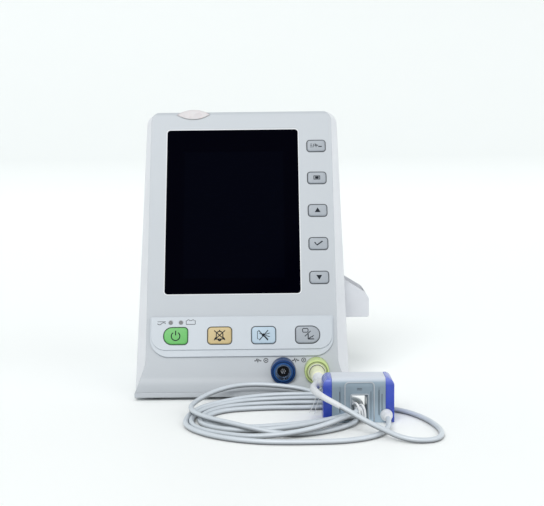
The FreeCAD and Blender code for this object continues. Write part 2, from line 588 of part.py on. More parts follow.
def rear_case(shell, outer):
    along = 150.0
    posts = [common(lean(stud(u, v, POST_R + 0.6, PART_T - along, PART_T)), outer) for u, v in CASE_SCREWS]
    bosses = [rod(BASE_BOSS_R, (x, y, FOOT_H), (x, y, FOOT_H + BASE_BOSS_H)) for x, y in base_bolt_centres()]
    bosses += [rod(POWER_POST_R, (x, y, FOOT_H), (x, y, POWER_BOARD_Z)) for x, y in power_posts()]
    bay = bay_box(BAY_WALL)
    bay_floor_rib = box(-40, -36, BAY_FRONT + 6, BAY_FRONT + 38, FOOT_H + 1, DOOR_Z0)
    inlet_sleeve = box(INLET_X - INLET_W / 2 - 2, INLET_X + INLET_W / 2 + 2, BODY_BACK - 12, BODY_BACK - 1,
                       INLET_Z - INLET_H / 2 - 2, INLET_Z + INLET_H / 2 + 2)
    speaker_ring = rod(SPEAKER_R + 2, (SPEAKER_X, BODY_BACK - WALL - 6, SPEAKER_Z), (SPEAKER_X, BODY_BACK - 1, SPEAKER_Z))
    port_shelf = box(PORT_X - 8, PORT_X + 8, BODY_BACK - 19, BODY_BACK - 1, PORT_Z - PORT_H / 2 - 2, PORT_Z - PORT_H / 2)
    holder_bosses = [rod(HOLDER_BOSS_R, (SIDE_HALF_W - 8, y, z), (SIDE_HALF_W + 1, y, z)) for y, z in holder_screw_places()]
    solid = shell.fuse(posts + bosses + [bay, bay_floor_rib, inlet_sleeve, speaker_ring, port_shelf] +
                       holder_bosses + hinge_knuckles(True))
    cuts = [bay_box(0), box(DOOR_X0, DOOR_X1, BODY_BACK - DOOR_T, BODY_BACK + 1, DOOR_Z0, DOOR_Z1)]
    for u, v in CASE_SCREWS:
        cuts.append(lean(stud(u, v, TUNNEL_R, PART_T - along, PART_T - HEAD_SEAT)))
        cuts.append(lean(stud(u, v, SCREW_R + 0.2, PART_T - HEAD_SEAT - PAST, PART_T + PAST)))
    cuts += [rod(BASE_INSERT_R, (x, y, FOOT_H - PAST), (x, y, FOOT_H + BASE_INSERT_L)) for x, y in base_bolt_centres()]
    cuts.append(box(INLET_X - INLET_W / 2, INLET_X + INLET_W / 2, BODY_BACK - 20, BODY_BACK + 1,
                    INLET_Z - INLET_H / 2, INLET_Z + INLET_H / 2))
    cuts.append(box(PORT_X - PORT_W / 2, PORT_X + PORT_W / 2, BODY_BACK - WALL - 1, BODY_BACK + 1,
                    PORT_Z - PORT_H / 2, PORT_Z + PORT_H / 2))
    cuts.append(rod(SPEAKER_R, (SPEAKER_X, BODY_BACK - WALL - 7, SPEAKER_Z), (SPEAKER_X, BODY_BACK - WALL, SPEAKER_Z)))
    cuts.append(rod(EARTH_R + 0.05, (EARTH_X, BODY_BACK - WALL - 1, EARTH_Z), (EARTH_X, BODY_BACK + 1, EARTH_Z)))
    cuts += [rod(HOLDER_SCREW_R, (SIDE_HALF_W - 9, y, z), (SIDE_HALF_W + 6, y, z)) for y, z in holder_screw_places()]
    cuts += [slot_along_x(SPEAKER_X, SPEAKER_Z + 5 * i, 2 * (16 - abs(i) * 3), 2.0) for i in range(-3, 4)]
    cuts += [slot_along_x(0, 196 + 6 * i, 70, 2.4) for i in range(4)]
    cuts += foot_recesses(1) + [lamp_lens(GAP)]
    return solid.cut(cuts)


def slot_along_x(x, z, length, height):
    return box(x - length / 2, x + length / 2, BODY_BACK - WALL - 1, BODY_BACK + 1, z - height / 2, z + height / 2)


def holder_screw_places():
    return ((HOLDER_Y0 + 12, HOLDER_SCREW_Z), (HOLDER_Y1 - 12, HOLDER_SCREW_Z))


def power_posts():
    return ((21, -24), (75, -24), (21, 32), (75, 32))


def battery_door():
    gap = DOOR_GAP
    plate = box(DOOR_X0 + gap, DOOR_X1 - gap, BODY_BACK - DOOR_T + 0.1, BODY_BACK, DOOR_Z0 + gap, DOOR_Z1 - gap)
    middle = (DOOR_Z0 + DOOR_Z1) / 2
    grips = [box(DOOR_X1 - 14, DOOR_X1 - 5, BODY_BACK - 0.5, BODY_BACK + 0.8, middle + s - 0.7, middle + s + 0.7)
             for s in (-6.0, -3.0, 0.0, 3.0, 6.0)]
    return fuse(plate, *grips, *hinge_knuckles(False))


def hinge_pin():
    z0, length = DOOR_Z0 + HINGE_RISE, KNUCKLES * KNUCKLE_PITCH
    return rod(HINGE_PIN_R, (HINGE_X, HINGE_Y, z0 - ROOT), (HINGE_X, HINGE_Y, z0 + length + ROOT))


def battery_pack():
    return box(DOOR_X0 + 2, DOOR_X1 - 2, BAY_FRONT, BODY_BACK - DOOR_T - 1.4, DOOR_Z0 + 1, DOOR_Z1 - 2)


def power_module():
    top = POWER_BOARD_Z + BOARD_T
    board = box(16.5, 80, -30, 38, POWER_BOARD_Z, top)
    parts = [box(20, 45, -18, 8, top, 36), box(50, 72, -16, -2, top, 30), rod(7, (58, 14, top), (58, 14, 38)),
             rod(5, (72, 24, top), (72, 24, 32)), box(24, 44, 16, 28, top, 26)]
    return fuse(board, *parts)


def mains_inlet():
    w, h = INLET_W / 2 - 0.1, INLET_H / 2 - 0.1
    back = BODY_BACK - INLET_DEPTH
    body = box(INLET_X - w, INLET_X + w, back, BODY_BACK, INLET_Z - h, INLET_Z + h)
    flange = box(INLET_X - 24, INLET_X + 24, BODY_BACK, BODY_BACK + INLET_FLANGE_T, INLET_Z - 11.2, INLET_Z + 11.2)
    cavity = ((-11.9, -8.1, 1.5), (11.9, -8.1, 1.5), (11.9, 4.2, 1), (7.8, 8.1, 1), (-7.8, 8.1, 1), (-11.9, 4.2, 1))
    wire = flat_outline(cavity, lambda a, b: Vector(INLET_X + a, BODY_BACK - 14.0, INLET_Z + b))
    shell = fuse(body, flange).cut([prism(wire, Vector(0, 20, 0))] + inlet_screw_holes(INLET_SCREW_R))
    pins = [box(INLET_X + a - 1.0, INLET_X + a + 1.0, BODY_BACK - 15, BODY_BACK - 5.5, INLET_Z + b - 2, INLET_Z + b + 2)
            for a, b in ((-7.0, -2.0), (0.0, 2.2), (7.0, -2.0))]
    return fuse(shell, *pins)


def inlet_screw_holes(radius):
    return [rod(radius, (INLET_X + s, BODY_BACK - 4, INLET_Z), (INLET_X + s, BODY_BACK + 4, INLET_Z))
            for s in (-INLET_SCREW_X, INLET_SCREW_X)]


def inlet_screws():
    screws = []
    outside = BODY_BACK + INLET_FLANGE_T
    for x in (INLET_X - INLET_SCREW_X, INLET_X + INLET_SCREW_X):
        shank = rod(INLET_SCREW_R, (x, BODY_BACK, INLET_Z), (x, outside, INLET_Z))
        head = cone(2.8, 2.2, (x, outside, INLET_Z), (x, outside + 1.5, INLET_Z))
        screws.append(fuse(shank, head))
    return Part.makeCompound(screws)


def earth_post():
    shank = rod(EARTH_R, (EARTH_X, BODY_BACK - 8, EARTH_Z), (EARTH_X, BODY_BACK + EARTH_OUT, EARTH_Z))
    nut = rod(5.6, (EARTH_X, BODY_BACK, EARTH_Z), (EARTH_X, BODY_BACK + 3, EARTH_Z))
    inner_nut = rod(5.4, (EARTH_X, BODY_BACK - WALL - 3.5, EARTH_Z), (EARTH_X, BODY_BACK - WALL, EARTH_Z))
    return fuse(shank, nut, inner_nut)


def network_port():
    w, h = PORT_W / 2 - 0.1, PORT_H / 2 - 0.05
    body = box(PORT_X - w, PORT_X + w, BODY_BACK - PORT_DEPTH, BODY_BACK + 0.4, PORT_Z - h, PORT_Z + h)
    cavity = box(PORT_X - 5.9, PORT_X + 5.9, BODY_BACK - 12, BODY_BACK + 1, PORT_Z - 4.4, PORT_Z + 2.6)
    notch = box(PORT_X - 3.1, PORT_X + 3.1, BODY_BACK - 12, BODY_BACK + 1, PORT_Z + 2.5, PORT_Z + 4.8)
    return body.cut([cavity, notch])


def speaker():
    back = BODY_BACK - WALL
    frame = rod(SPEAKER_R - 0.2, (SPEAKER_X, back - 4, SPEAKER_Z), (SPEAKER_X, back, SPEAKER_Z))
    basket = cone(SPEAKER_R - 2, 11.0, (SPEAKER_X, back - 4, SPEAKER_Z), (SPEAKER_X, back - 9, SPEAKER_Z))
    magnet = rod(13.0, (SPEAKER_X, back - 9, SPEAKER_Z), (SPEAKER_X, back - SPEAKER_T, SPEAKER_Z))
    return fuse(frame, basket, magnet)


def case_screws():
    screws = []
    for u, v in CASE_SCREWS:
        shank = stud(u, v, SCREW_R, PART_T - HEAD_SEAT - ROOT, PART_T + INSERT_L)
        head = stud(u, v, SCREW_HEAD_R, PART_T - HEAD_SEAT - SCREW_HEAD_T, PART_T - HEAD_SEAT)
        screws.append(lean(fuse(shank, head)))
    return Part.makeCompound(screws)


def case_inserts():
    inserts = [lean(stud(u, v, INSERT_R, PART_T, PART_T + INSERT_L).cut(
        stud(u, v, SCREW_R, PART_T - PAST, PART_T + INSERT_L + PAST))) for u, v in CASE_SCREWS]
    return Part.makeCompound(inserts)


def rubber_feet():
    feet = []
    for x in (-FEET_X, FEET_X):
        for y in (-FEET_Y, FEET_Y):
            pad = cone(FEET_R - 1.0, FEET_R - PIN_GAP, (x, y, 0), (x, y, FEET_TOUCH_H))
            feet.append(fuse(pad, rod(FEET_R - PIN_GAP, (x, y, FEET_TOUCH_H), (x, y, FOOT_H + FEET_SEAT))))
    return Part.makeCompound(feet)


def base_inserts():
    return Part.makeCompound([rod(BASE_INSERT_R, (x, y, FOOT_H), (x, y, FOOT_H + BASE_INSERT_L)).cut(
        rod(BASE_BOLT_R, (x, y, FOOT_H - PAST), (x, y, FOOT_H + BASE_BOLT_L))) for x, y in base_bolt_centres()])


# ---- holder ------------------------------------------------------------------

def holder_profile(inset, y0, y1):
    z0, x1 = HOLDER_Z0 + inset, HOLDER_X - inset
    corners = ((SIDE_HALF_W - 4, z0, 0), (x1, z0, min(2.0, 2.0 + inset)), (x1, 70.5 - inset * 0.6, 5.0),
               (108.5 - inset, 76.0 - inset, 5.0), (SIDE_HALF_W - 4, 92.0 - inset, 0))
    return prism(flat_outline(corners, lambda x, z: Vector(x, y0, z)), Vector(0, y1 - y0, 0))


def side_holder(outer):
    wall = HOLDER_WALL
    solid = holder_profile(0, HOLDER_Y0, HOLDER_Y1)
    pocket = box(SIDE_HALF_W + HOLDER_SEAT, HOLDER_X - wall, HOLDER_Y0 + wall, HOLDER_Y1 - wall, HOLDER_Z0 + wall, 120)
    holes = [rod(HOLDER_SCREW_R + 0.2, (SIDE_HALF_W, y, z), (SIDE_HALF_W + 8, y, z)) for y, z in holder_screw_places()]
    return solid.cut([outer, pocket] + holes)


def holder_screws():
    screws = []
    for y, z in holder_screw_places():
        head_x = SIDE_HALF_W + HOLDER_SEAT
        shank = rod(HOLDER_SCREW_R - 0.02, (SIDE_HALF_W - 7, y, z), (head_x, y, z))
        screws.append(fuse(shank, rod(2.8, (head_x, y, z), (head_x + 2, y, z))))
    return Part.makeCompound(screws)


# ---- gas sensor --------------------------------------------------------------

def sensor_slice(x0, x1, top_outer=0):
    """A slice of the sensor's block between x0 and x1, with rounded long edges on top."""
    corners = ((SENSOR_FRONT, 0, 1.0), (SENSOR_BACK, 0, 1.0), (SENSOR_BACK, SENSOR_H, 3.5), (SENSOR_FRONT, SENSOR_H, 3.5))
    solid = prism(flat_outline(corners, lambda y, z: Vector(x0, y, z)), Vector(x1 - x0, 0, 0))
    if not top_outer:
        return solid
    radius = 6.0
    a0, a1 = (x0, x1 + 9) if top_outer < 0 else (x0 - 9, x1)
    left, right = (radius, 0) if top_outer < 0 else (0, radius)
    outline = ((a0, -1, 0), (a1, -1, 0), (a1, SENSOR_H, right), (a0, SENSOR_H, left))
    mask = prism(flat_outline(outline, lambda x, z: Vector(x, SENSOR_FRONT - 1, z)), Vector(0, 30, 0))
    return common(solid, mask)


def sensor_slot(grow, y0, y1):
    return box(SLOT_X - SLOT_W / 2 - grow, SLOT_X + SLOT_W / 2 + grow, y0, y1, -1, SLOT_H + grow)


def window_discs(radius):
    """One disc let into each side wall of the slot."""
    z, y, side = SIGHT_Z, (SENSOR_FRONT + SENSOR_BACK) / 2, SLOT_W / 2
    return [rod(radius, (SLOT_X - side - SIGHT_T, y, z), (SLOT_X - side, y, z)),
            rod(radius, (SLOT_X + side, y, z), (SLOT_X + side + SIGHT_T, y, z))]


def sensor_body():
    solid = sensor_slice(SENSOR_X0 + CAP_W, SENSOR_X1 - CAP_W)
    grooves = []
    for x in (SLOT_X - 14.5, SLOT_X + 14.5):
        grooves.append(box(x - 0.3, x + 0.3, SENSOR_FRONT - 1, SENSOR_FRONT + 0.4, 6, 27))
    return solid.cut([sensor_slot(0, SENSOR_FRONT - 2, SENSOR_BACK + 2)] + window_discs(SIGHT_R) + grooves)


def sensor_arches():
    """The raised saddle round the slot, on the front and on the back."""
    plates = []
    for y0, y1 in ((SENSOR_FRONT - ARCH_T, SENSOR_FRONT), (SENSOR_BACK, SENSOR_BACK + ARCH_T)):
        corners = ((SLOT_X - ARCH_HALF_W, 1, 0.5), (SLOT_X + ARCH_HALF_W, 1, 0.5),
                   (SLOT_X + ARCH_HALF_W, ARCH_H, 3.0), (SLOT_X - ARCH_HALF_W, ARCH_H, 3.0))
        plate = prism(flat_outline(corners, lambda x, z, y=y0: Vector(x, y, z)), Vector(0, y1 - y0, 0))
        plates.append(plate.cut(sensor_slot(0, y0 - 1, y1 + 1)))
    return Part.makeCompound(plates)


def sensor_relief():
    step = SENSOR_FRONT - RELIEF_ROOT
    root = rod(RELIEF_R, (RELIEF_X, step, RELIEF_Z), (RELIEF_X, SENSOR_FRONT, RELIEF_Z))
    nose = cone(2.9, 4.2, (RELIEF_X, SENSOR_FRONT - RELIEF_LEN, RELIEF_Z), (RELIEF_X, step, RELIEF_Z))
    return fuse(root, nose)


# ---- lead --------------------------------------------------------------------

def tube_along(route, radius):
    """A tube of straight runs and tangent arcs; prints its smallest bend and checks its volume."""
    points = [Vector(*p) for p in route]
    edges, start, radii = [], points[0], []
    for i in range(1, len(points) - 1):
        before, after = points[i - 1] - points[i], points[i + 1] - points[i]
        reach = 0.45 * min(before.Length, after.Length)
        half = before.getAngle(after) / 2
        bend = reach * math.tan(half)
        radii.append(bend)
        before.normalize()
        after.normalize()
        first, last = points[i] + before * reach, points[i] + after * reach
        inner = points[i] + (before + after).normalize() * (bend / math.sin(half) - bend)
        edges += [Part.LineSegment(start, first).toShape(), Part.Arc(first, inner, last).toShape()]
        start = last
    edges.append(Part.LineSegment(start, points[-1]).toShape())
    path = Part.Wire(edges)
    ring = Part.Wire(Part.makeCircle(radius, points[0], points[1] - points[0]))
    solid = path.makePipeShell([ring], True, False)
    ratio = solid.Volume / (math.pi * radius ** 2 * path.Length)
    print("tube length", round(path.Length, 1), "smallest bend", round(min(radii), 1), "volume ratio", round(ratio, 4))
    return solid


def lead_coil():
    """The outer shape of the turns: a flat ring that narrows and rises where it passes the slot."""
    outer = prism(flat_outline(COIL_OUTER, lambda x, y: Vector(x, y, 0)), Vector(0, 0, COIL_H))
    inner = prism(flat_outline(COIL_INNER, lambda x, y: Vector(x, y, -1)), Vector(0, 0, COIL_H + 2))
    waist = box(*WAIST, 0, COIL_SLOT_H)
    return fuse(outer.cut(inner), waist)


def lead_ties():
    """Two thin bands over the bundle: one in front of the sensor's slot, one on the back strands."""
    top, half, x0, x1 = COIL_SLOT_H + TIE_GAP, TIE_W / 2, WAIST[0] - TIE_GAP, WAIST[1] + TIE_GAP
    front = box(x0 - TIE_T, x1 + TIE_T, FRONT_TIE_Y - half, FRONT_TIE_Y + half, COIL_H + TIE_GAP, top + TIE_T)
    front = front.cut(box(x0, x1, FRONT_TIE_Y - TIE_W, FRONT_TIE_Y + TIE_W, 0, top))
    back = box(BACK_TIE_X - half, BACK_TIE_X + half, BACK_TIE_Y0 - TIE_T, BACK_TIE_Y1 + TIE_T, 0, COIL_H + TIE_T)
    back = back.cut(box(BACK_TIE_X - TIE_W, BACK_TIE_X + TIE_W, BACK_TIE_Y0, BACK_TIE_Y1, -PAST, COIL_H + TIE_GAP))
    return Part.makeCompound([front, back])


def build():
    outer, front_shell, rear_shell = halves()
    pieces = {
        "front_bezel": front_bezel(front_shell), "rear_case": rear_case(rear_shell, outer),
        "key_panel": key_panel(), "screen_window": screen_window(), "window_gasket": window_gasket(),
        "lcd_module": lcd_module(), "lcd_bracket": lcd_bracket(), "main_board": main_board(),
        "board_screws": board_screws(), "alarm_lamp": lamp_lens(0), "lamp_board": lamp_board(),
        "side_key_board": side_key_board(), "front_key_board": front_key_board(),
        "indicator_leds": indicator_leds(), "connector_board": connector_board(),
        "case_screws": case_screws(), "case_inserts": case_inserts(), "rubber_feet": rubber_feet(),
        "base_inserts": base_inserts(), "battery_door": battery_door(), "hinge_pin": hinge_pin(),
        "battery_pack": battery_pack(), "power_module": power_module(), "mains_inlet": mains_inlet(),
        "inlet_screws": inlet_screws(), "earth_post": earth_post(), "network_port": network_port(),
        "speaker": speaker(), "side_holder": side_holder(outer), "holder_screws": holder_screws(),
        "gas_plug": gas_plug(), "plug_boot": plug_boot(), "sensor_body": sensor_body(),
        "sensor_cap_left": sensor_slice(SENSOR_X0, SENSOR_X0 + CAP_W, -1),
        "sensor_cap_right": sensor_slice(SENSOR_X1 - CAP_W, SENSOR_X1, 1),
        "sensor_arches": sensor_arches(), "sensor_windows": Part.makeCompound(window_discs(SIGHT_R)),
        "sensor_relief": sensor_relief(), "sensor_lead": tube_along(LEAD_ROUTE, LEAD_R),
        "lead_tail": tube_along(TAIL_ROUTE, LEAD_R), "lead_coil": lead_coil(), "lead_ties": lead_ties(),
    }
    for side, x in SOCKET_XS.items():
        pieces[side + "_collar"] = socket_collar(x)
        pieces[side + "_shell"] = socket_shell(x)
        pieces[side + "_core"] = socket_core(x)
    for i in range(5):
        pieces["side_key_" + str(i + 1)] = side_key(i)
    for i, name in enumerate(("power_key", "alarm_key", "mute_key", "trend_key")):
        pieces[name] = front_key(i)
    for name, shape in pieces.items():
        save(name, shape)
    print("nodes", len(pieces))


build()
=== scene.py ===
"""Looks for the bedside monitor: finishes for its CAD nodes, detailed keys, sockets, sensor and lead.

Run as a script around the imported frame. Objects are in metres, in the frame's own axes: +Z up,
-Y towards the user. Constants are in millimetres, and MM turns them into metres.
"""
import math
from contextlib import contextmanager

import bmesh
import bpy
import numpy as np
from mathutils import Matrix, Vector


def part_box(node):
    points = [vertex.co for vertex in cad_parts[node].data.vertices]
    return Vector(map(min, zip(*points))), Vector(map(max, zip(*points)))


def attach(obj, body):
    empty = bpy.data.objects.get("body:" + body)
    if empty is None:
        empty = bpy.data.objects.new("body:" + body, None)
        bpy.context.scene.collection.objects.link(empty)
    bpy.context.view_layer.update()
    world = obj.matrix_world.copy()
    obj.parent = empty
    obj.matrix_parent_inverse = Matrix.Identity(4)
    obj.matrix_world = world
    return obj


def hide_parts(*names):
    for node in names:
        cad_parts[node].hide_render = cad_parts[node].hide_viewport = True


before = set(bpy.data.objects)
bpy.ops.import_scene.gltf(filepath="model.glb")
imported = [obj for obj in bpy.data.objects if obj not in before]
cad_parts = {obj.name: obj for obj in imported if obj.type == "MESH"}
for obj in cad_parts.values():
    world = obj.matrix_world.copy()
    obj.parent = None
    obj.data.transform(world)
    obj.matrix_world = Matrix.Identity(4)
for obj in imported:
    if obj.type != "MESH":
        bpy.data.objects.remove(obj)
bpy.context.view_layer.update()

bl_info = {
    "name": "Bedside Monitor Look",
    "version": (1, 0, 0),
    "blender": (4, 5, 0),
    "location": "View3D > Sidebar > Monitor",
    "description": "Builds the finishes and detailed pieces of a bedside monitor round its CAD frame",
    "category": "Object",
}

MM = 0.001
LEAN = math.radians(22.65)
FACE_Y = -65.2

# Keys on the leaning face: centre of the first, step to the next, half sizes, and heights over the face
SIDE_KEY_U, SIDE_KEY_V, SIDE_KEY_PITCH, SIDE_KEY_HALF = 66.3, 102.0, 30.15, (7.9, 5.2)
SIDE_KEY_HEIGHTS, SIDE_KEY_CORNER = (1.2, -4.5), 2.4
FRONT_KEY_U, FRONT_KEY_V, FRONT_KEY_PITCH, FRONT_KEY_HALF = -55.275, 52.0, 36.85, (9.9, 7.1)
FRONT_KEY_HEIGHTS, INNER_CORNER, OUTER_CORNER = (3.3, -1.5), 3.0, 6.8
PANEL_LEVEL = 2.2

# Window, indicator lights and signs on the leaning face
WINDOW_CENTRE, WINDOW_HALF, WINDOW_CORNER = (-7.7, 163.65), (58.0, 75.2), 2.8
PICTURE_HALF = (43.2, 57.6)
INDICATOR_U, INDICATOR_V, INDICATOR_R = (-59.6, -51.0), 63.5, 1.5
SIGN_U, SIGN_V = (15.5, 47.0), 31.0
PRINT_LIFT = 0.04

# Sockets, plug and sensor: the axes of the round ones run along y
OXYGEN_X, GAS_X, SOCKET_Z = 34.4, 62.3, 20.6
CONTACT_Y, PLUG_Y, BOOT_ROOT_Y, BOOT_TIP_Y = -58.5, -63.6, -84.0, -97.0
SENSOR_FRONT_Y, SENSOR_BACK_Y = -142.0, -118.0
RELIEF_X, RELIEF_Z = 110.5, 6.0

# Lead from the plug's boot, round the right of the sensor and back into the coil
LEAD_ROUTE = (
    (62.3, -97, 20.6), (59.0, -115, 22.5), (55.5, -135, 24.5), (61.0, -154, 24.0),
    (74.0, -162, 18.8), (85.0, -168.5, 13.6), (95.5, -176, 9.2), (105.5, -184, 6.2),
    (115.0, -191.0, 3.4), (126.0, -195.0, 2.2), (139.5, -193.0, 2.0), (146.5, -180.0, 2.0),
    (146.5, -162.0, 2.0), (141.0, -141.0, 2.0), (131.0, -122.0, 2.0), (119.0, -111.5, 2.0),
    (104.5, -108.0, 2.0), (91.0, -104.5, 2.2), (79.0, -100.5, 2.8))
# The first turn stands up against the foot of the housing and crosses over the others
FIRST_TURN = (
    (64, -89, 8.6), (48, -81, 11.6), (30, -76.2, 12.8), (12, -73.6, 13.4), (-5, -75, 12.8),
    (-20, -82, 10.6),
    (-31, -93, 8.0), (-37.5, -108, 6.6), (-38, -122, 6.6), (-32, -137, 6.8), (-21, -150, 6.8),
    (-6, -161, 6.6), (10, -169.5, 5.0), (28, -175.5, 2.6), (46, -176, 2.0), (62, -170.5, 2.0),
    (75, -162, 2.2), (84.5, -153, 2.8))
# Stations of the other turns: x and y of the innermost, how far each later turn fans out, and its rise
STATIONS = (
    (86, -108.5, 1.0, 2.4, 1.2), (76, -104.2, 0.4, 4.2, 1.9), (60, -103.4, 0, 4.9, 2.1),
    (42, -104.4, 0, 5.2, 2.2), (24, -104.4, 0, 5.2, 2.0), (7, -105.5, -0.8, 5.0, 1.6),
    (-9, -109.5, -2.6, 4.2, 1.0), (-20, -118, -4.0, 3.0, 0.5), (-26, -129, -4.6, 0.6, 0.2),
    (-26.5, -140, -4.6, -2.6, 0), (-20, -149.5, -3.6, -5.6, 0), (-7, -155.5, -2.2, -8.6, 0),
    (10, -157.5, 0, -11.2, 0), (30, -157, 0.6, -12.8, 0), (50, -153.5, 1.6, -12.2, 0),
    (67, -148.5, 1.8, -8.6, 0))
# How many fan widths each turn lies from the innermost one, behind and in front of the sensor
SPREAD_BACK = (0.0, 1.15, 2.3, 3.1)
SPREAD_FRONT = (0.0, 0.75, 2.1, 3.0)
BEHIND_Y = -120
# How many stations a turn takes to sink from the sensor's slot, and to climb to its next pass
SINK_STATIONS, CLIMB_STATIONS = 3, 4
RESTING_Z = 2.0
# Where each turn goes through the slot, x and z, and the points along y on the way
SLOT_PASSES = ((88.2, 3.2), (92.5, 5.6), (88.4, 8.2), (92.4, 10.7))
SLOT_Y = (-144, -130, -119)
TAIL_ROUTE = (
    (62.0, -194.5, 2.0), (76.0, -193.0, 2.0), (89.0, -188.5, 2.0), (100.0, -181.0, 2.1),
    (107.5, -171, 2.9), (110.5, -161, 4.8), (110.5, -152, 6.0))
# The smooth line is about this much of its control line, because it cuts the corners
LINE_SHARE = 0.985
# The boot's thin end: points of the drawn line that carry it, its tip's radius, and what its root adds
SLEEVE_POINTS, SLEEVE_THIN, SLEEVE_GAIN = 30, 2.08, 1.25

# Camera: its place, its dip below level and its roll in degrees, and its lens
CAMERA_PLACE, CAMERA_DIP, CAMERA_ROLL, CAMERA_LENS = (26.2, -872.0, 212.0), 6.5, -0.64, 66.18


# ---- settings ----------------------------------------------------------------

def tint(name, description, default):
    return bpy.props.FloatVectorProperty(name=name, description=description, default=default,
                                         subtype="COLOR", size=3, min=0.0, max=1.0)


def size(name, description, default, low, high):
    return bpy.props.FloatProperty(name=name, description=description, default=default * MM, min=low * MM,
                                   max=high * MM, unit="LENGTH", subtype="DISTANCE", precision=5)


class MonitorColours(bpy.types.PropertyGroup):
    housing: tint("Housing", "Moulded shell of the monitor", (0.50, 0.535, 0.57))
    # The side colour is the housing plastic made paler, painted light on faces turned sideways.
    side: tint("Side bands", "Shell plastic as lit on the sides, painted light", (0.76, 0.78, 0.82))
    panel: tint("Key panel", "Raised panel behind the front keys", (0.53, 0.575, 0.62))
    grey_key: tint("Grey keys", "Side keys and trend key", (0.335, 0.37, 0.41))
    green_key: tint("Green key", "Power key", (0.11, 0.45, 0.10))
    orange_key: tint("Orange key", "Alarm key", (0.54, 0.42, 0.20))
    blue_key: tint("Blue key", "Mute key", (0.42, 0.54, 0.64))
    ink: tint("Ink", "Printed marks", (0.012, 0.015, 0.02))
    lamp: tint("Lamp", "Frosted alarm lens", (0.525, 0.49, 0.505))
    collar_blue: tint("Oxygen collar", "Anodised ring of the oxygen socket", (0.004, 0.038, 0.150))
    collar_green: tint("Gas collar", "Anodised ring of the gas socket", (0.56, 0.68, 0.29))
    plug: tint("Plug", "Moulded shell of the gas plug", (0.84, 0.86, 0.60))
    lead: tint("Lead", "Jacket of the lead", (0.61, 0.665, 0.715))
    sensor: tint("Sensor", "Moulded block of the sensor", (0.225, 0.290, 0.345))
    cap: tint("Sensor caps", "Translucent end caps", (0.030, 0.068, 0.47))


class MonitorSizes(bpy.types.PropertyGroup):
    lead_diameter: size("Lead diameter", "Outside of the lead's jacket", 4.0, 3.0, 5.0)
    key_crown: size("Key crown", "How far a key's middle stands above its rim", 0.35, 0.0, 1.0)
    key_round: size("Key edge", "Radius of a key's top edge", 0.9, 0.2, 1.5)
    ink_height: size("Ink height", "Thickness of the printed marks", 0.04, 0.01, 0.2)


# ---- shader helpers ----------------------------------------------------------

class Value:
    """One output socket; arithmetic on it adds Math nodes."""

    def __init__(self, recipe, socket):
        self.recipe, self.socket = recipe, socket

    def math(self, operation, *values):
        return self.recipe.add("ShaderNodeMath", {"operation": operation}, *values)

    def __add__(self, other):
        return self.math("ADD", self, other)

    __radd__ = __add__

    def __sub__(self, other):
        return self.math("SUBTRACT", self, other)

    def __rsub__(self, other):
        return self.math("SUBTRACT", other, self)

    def __mul__(self, other):
        return self.math("MULTIPLY", self, other)

    __rmul__ = __mul__

    def __truediv__(self, other):
        return self.math("DIVIDE", self, other)

    def __rtruediv__(self, other):
        return self.math("DIVIDE", other, self)

    def __abs__(self):
        return self.math("ABSOLUTE", self)

    def clamp(self):
        return self.recipe.add("ShaderNodeClamp", {}, self, 0.0, 1.0)

    def step(self, edge, width):
        """0 below edge, 1 above edge + width, straight between."""
        return ((self - edge) / width).clamp()


class Recipe:
    """A material under construction; add() is the only way a node is made."""

    def __init__(self, name):
        self.material = bpy.data.materials.new(name)
        self.material.use_nodes = True
        self.tree = self.material.node_tree
        self.tree.nodes.clear()
        self.place = None

    def add(self, kind, settings, *values, out=0, **named):
        node = self.tree.nodes.new(kind)
        for key, setting in settings.items():
            setattr(node, key, setting)
        sockets = [s for s in node.inputs if s.enabled] if kind == "ShaderNodeMix" else node.inputs
        for i, value in enumerate(values):
            self.feed(sockets[i], value)
        for key, value in named.items():
            self.feed(node.inputs[key.replace("_", " ")], value)
        outputs = [s for s in node.outputs if s.enabled]
        return Value(self, outputs[out]) if outputs else None

    def feed(self, socket, value):
        if isinstance(value, Value):
            self.tree.links.new(value.socket, socket)
        elif hasattr(socket, "default_value"):
            length = len(socket.default_value) if hasattr(socket.default_value, "__len__") else 0
            if length == 4 and len(value) == 3:
                value = (*value, 1.0)
            socket.default_value = value

    def where(self):
        """Object coordinates, made once."""
        if self.place is None:
            self.place = self.add("ShaderNodeTexCoord", {}, out=3)
        return self.place

    def axes(self, vector=None):
        split = self.add("ShaderNodeSeparateXYZ", {}, vector or self.where())
        return [Value(self, s) for s in split.socket.node.outputs]

    def facing(self):
        """The surface's own direction, as its x, y and z."""
        return self.axes(self.add("ShaderNodeNewGeometry", {}, out=1))

    def noise(self, scale, detail=2.0, vector=None):
        return self.add("ShaderNodeTexNoise", {}, Vector=vector or self.where(), Scale=scale, Detail=detail)

    def mix(self, factor, first, second):
        return self.add("ShaderNodeMix", {"data_type": "RGBA"}, factor, first, second)

    def bump(self, height, distance, strength=1.0, normal=None):
        extra = {"Normal": normal} if normal else {}
        return self.add("ShaderNodeBump", {}, Height=height, Distance=distance, Strength=strength, **extra)

    def soft_edges(self, radius):
        return self.add("ShaderNodeBevel", {"samples": 6}, Radius=radius)

    def finish(self, colour, roughness, normal=None, **constants):
        extra = {"Normal": normal} if normal else {}
        shader = self.add("ShaderNodeBsdfPrincipled", {}, Base_Color=colour, Roughness=roughness, **extra,
                          **constants)
        self.add("ShaderNodeOutputMaterial", {}, shader)
        return self.material


def shade(colour, factor):
    """The colour made darker or paler."""
    return tuple(c * factor for c in colour)


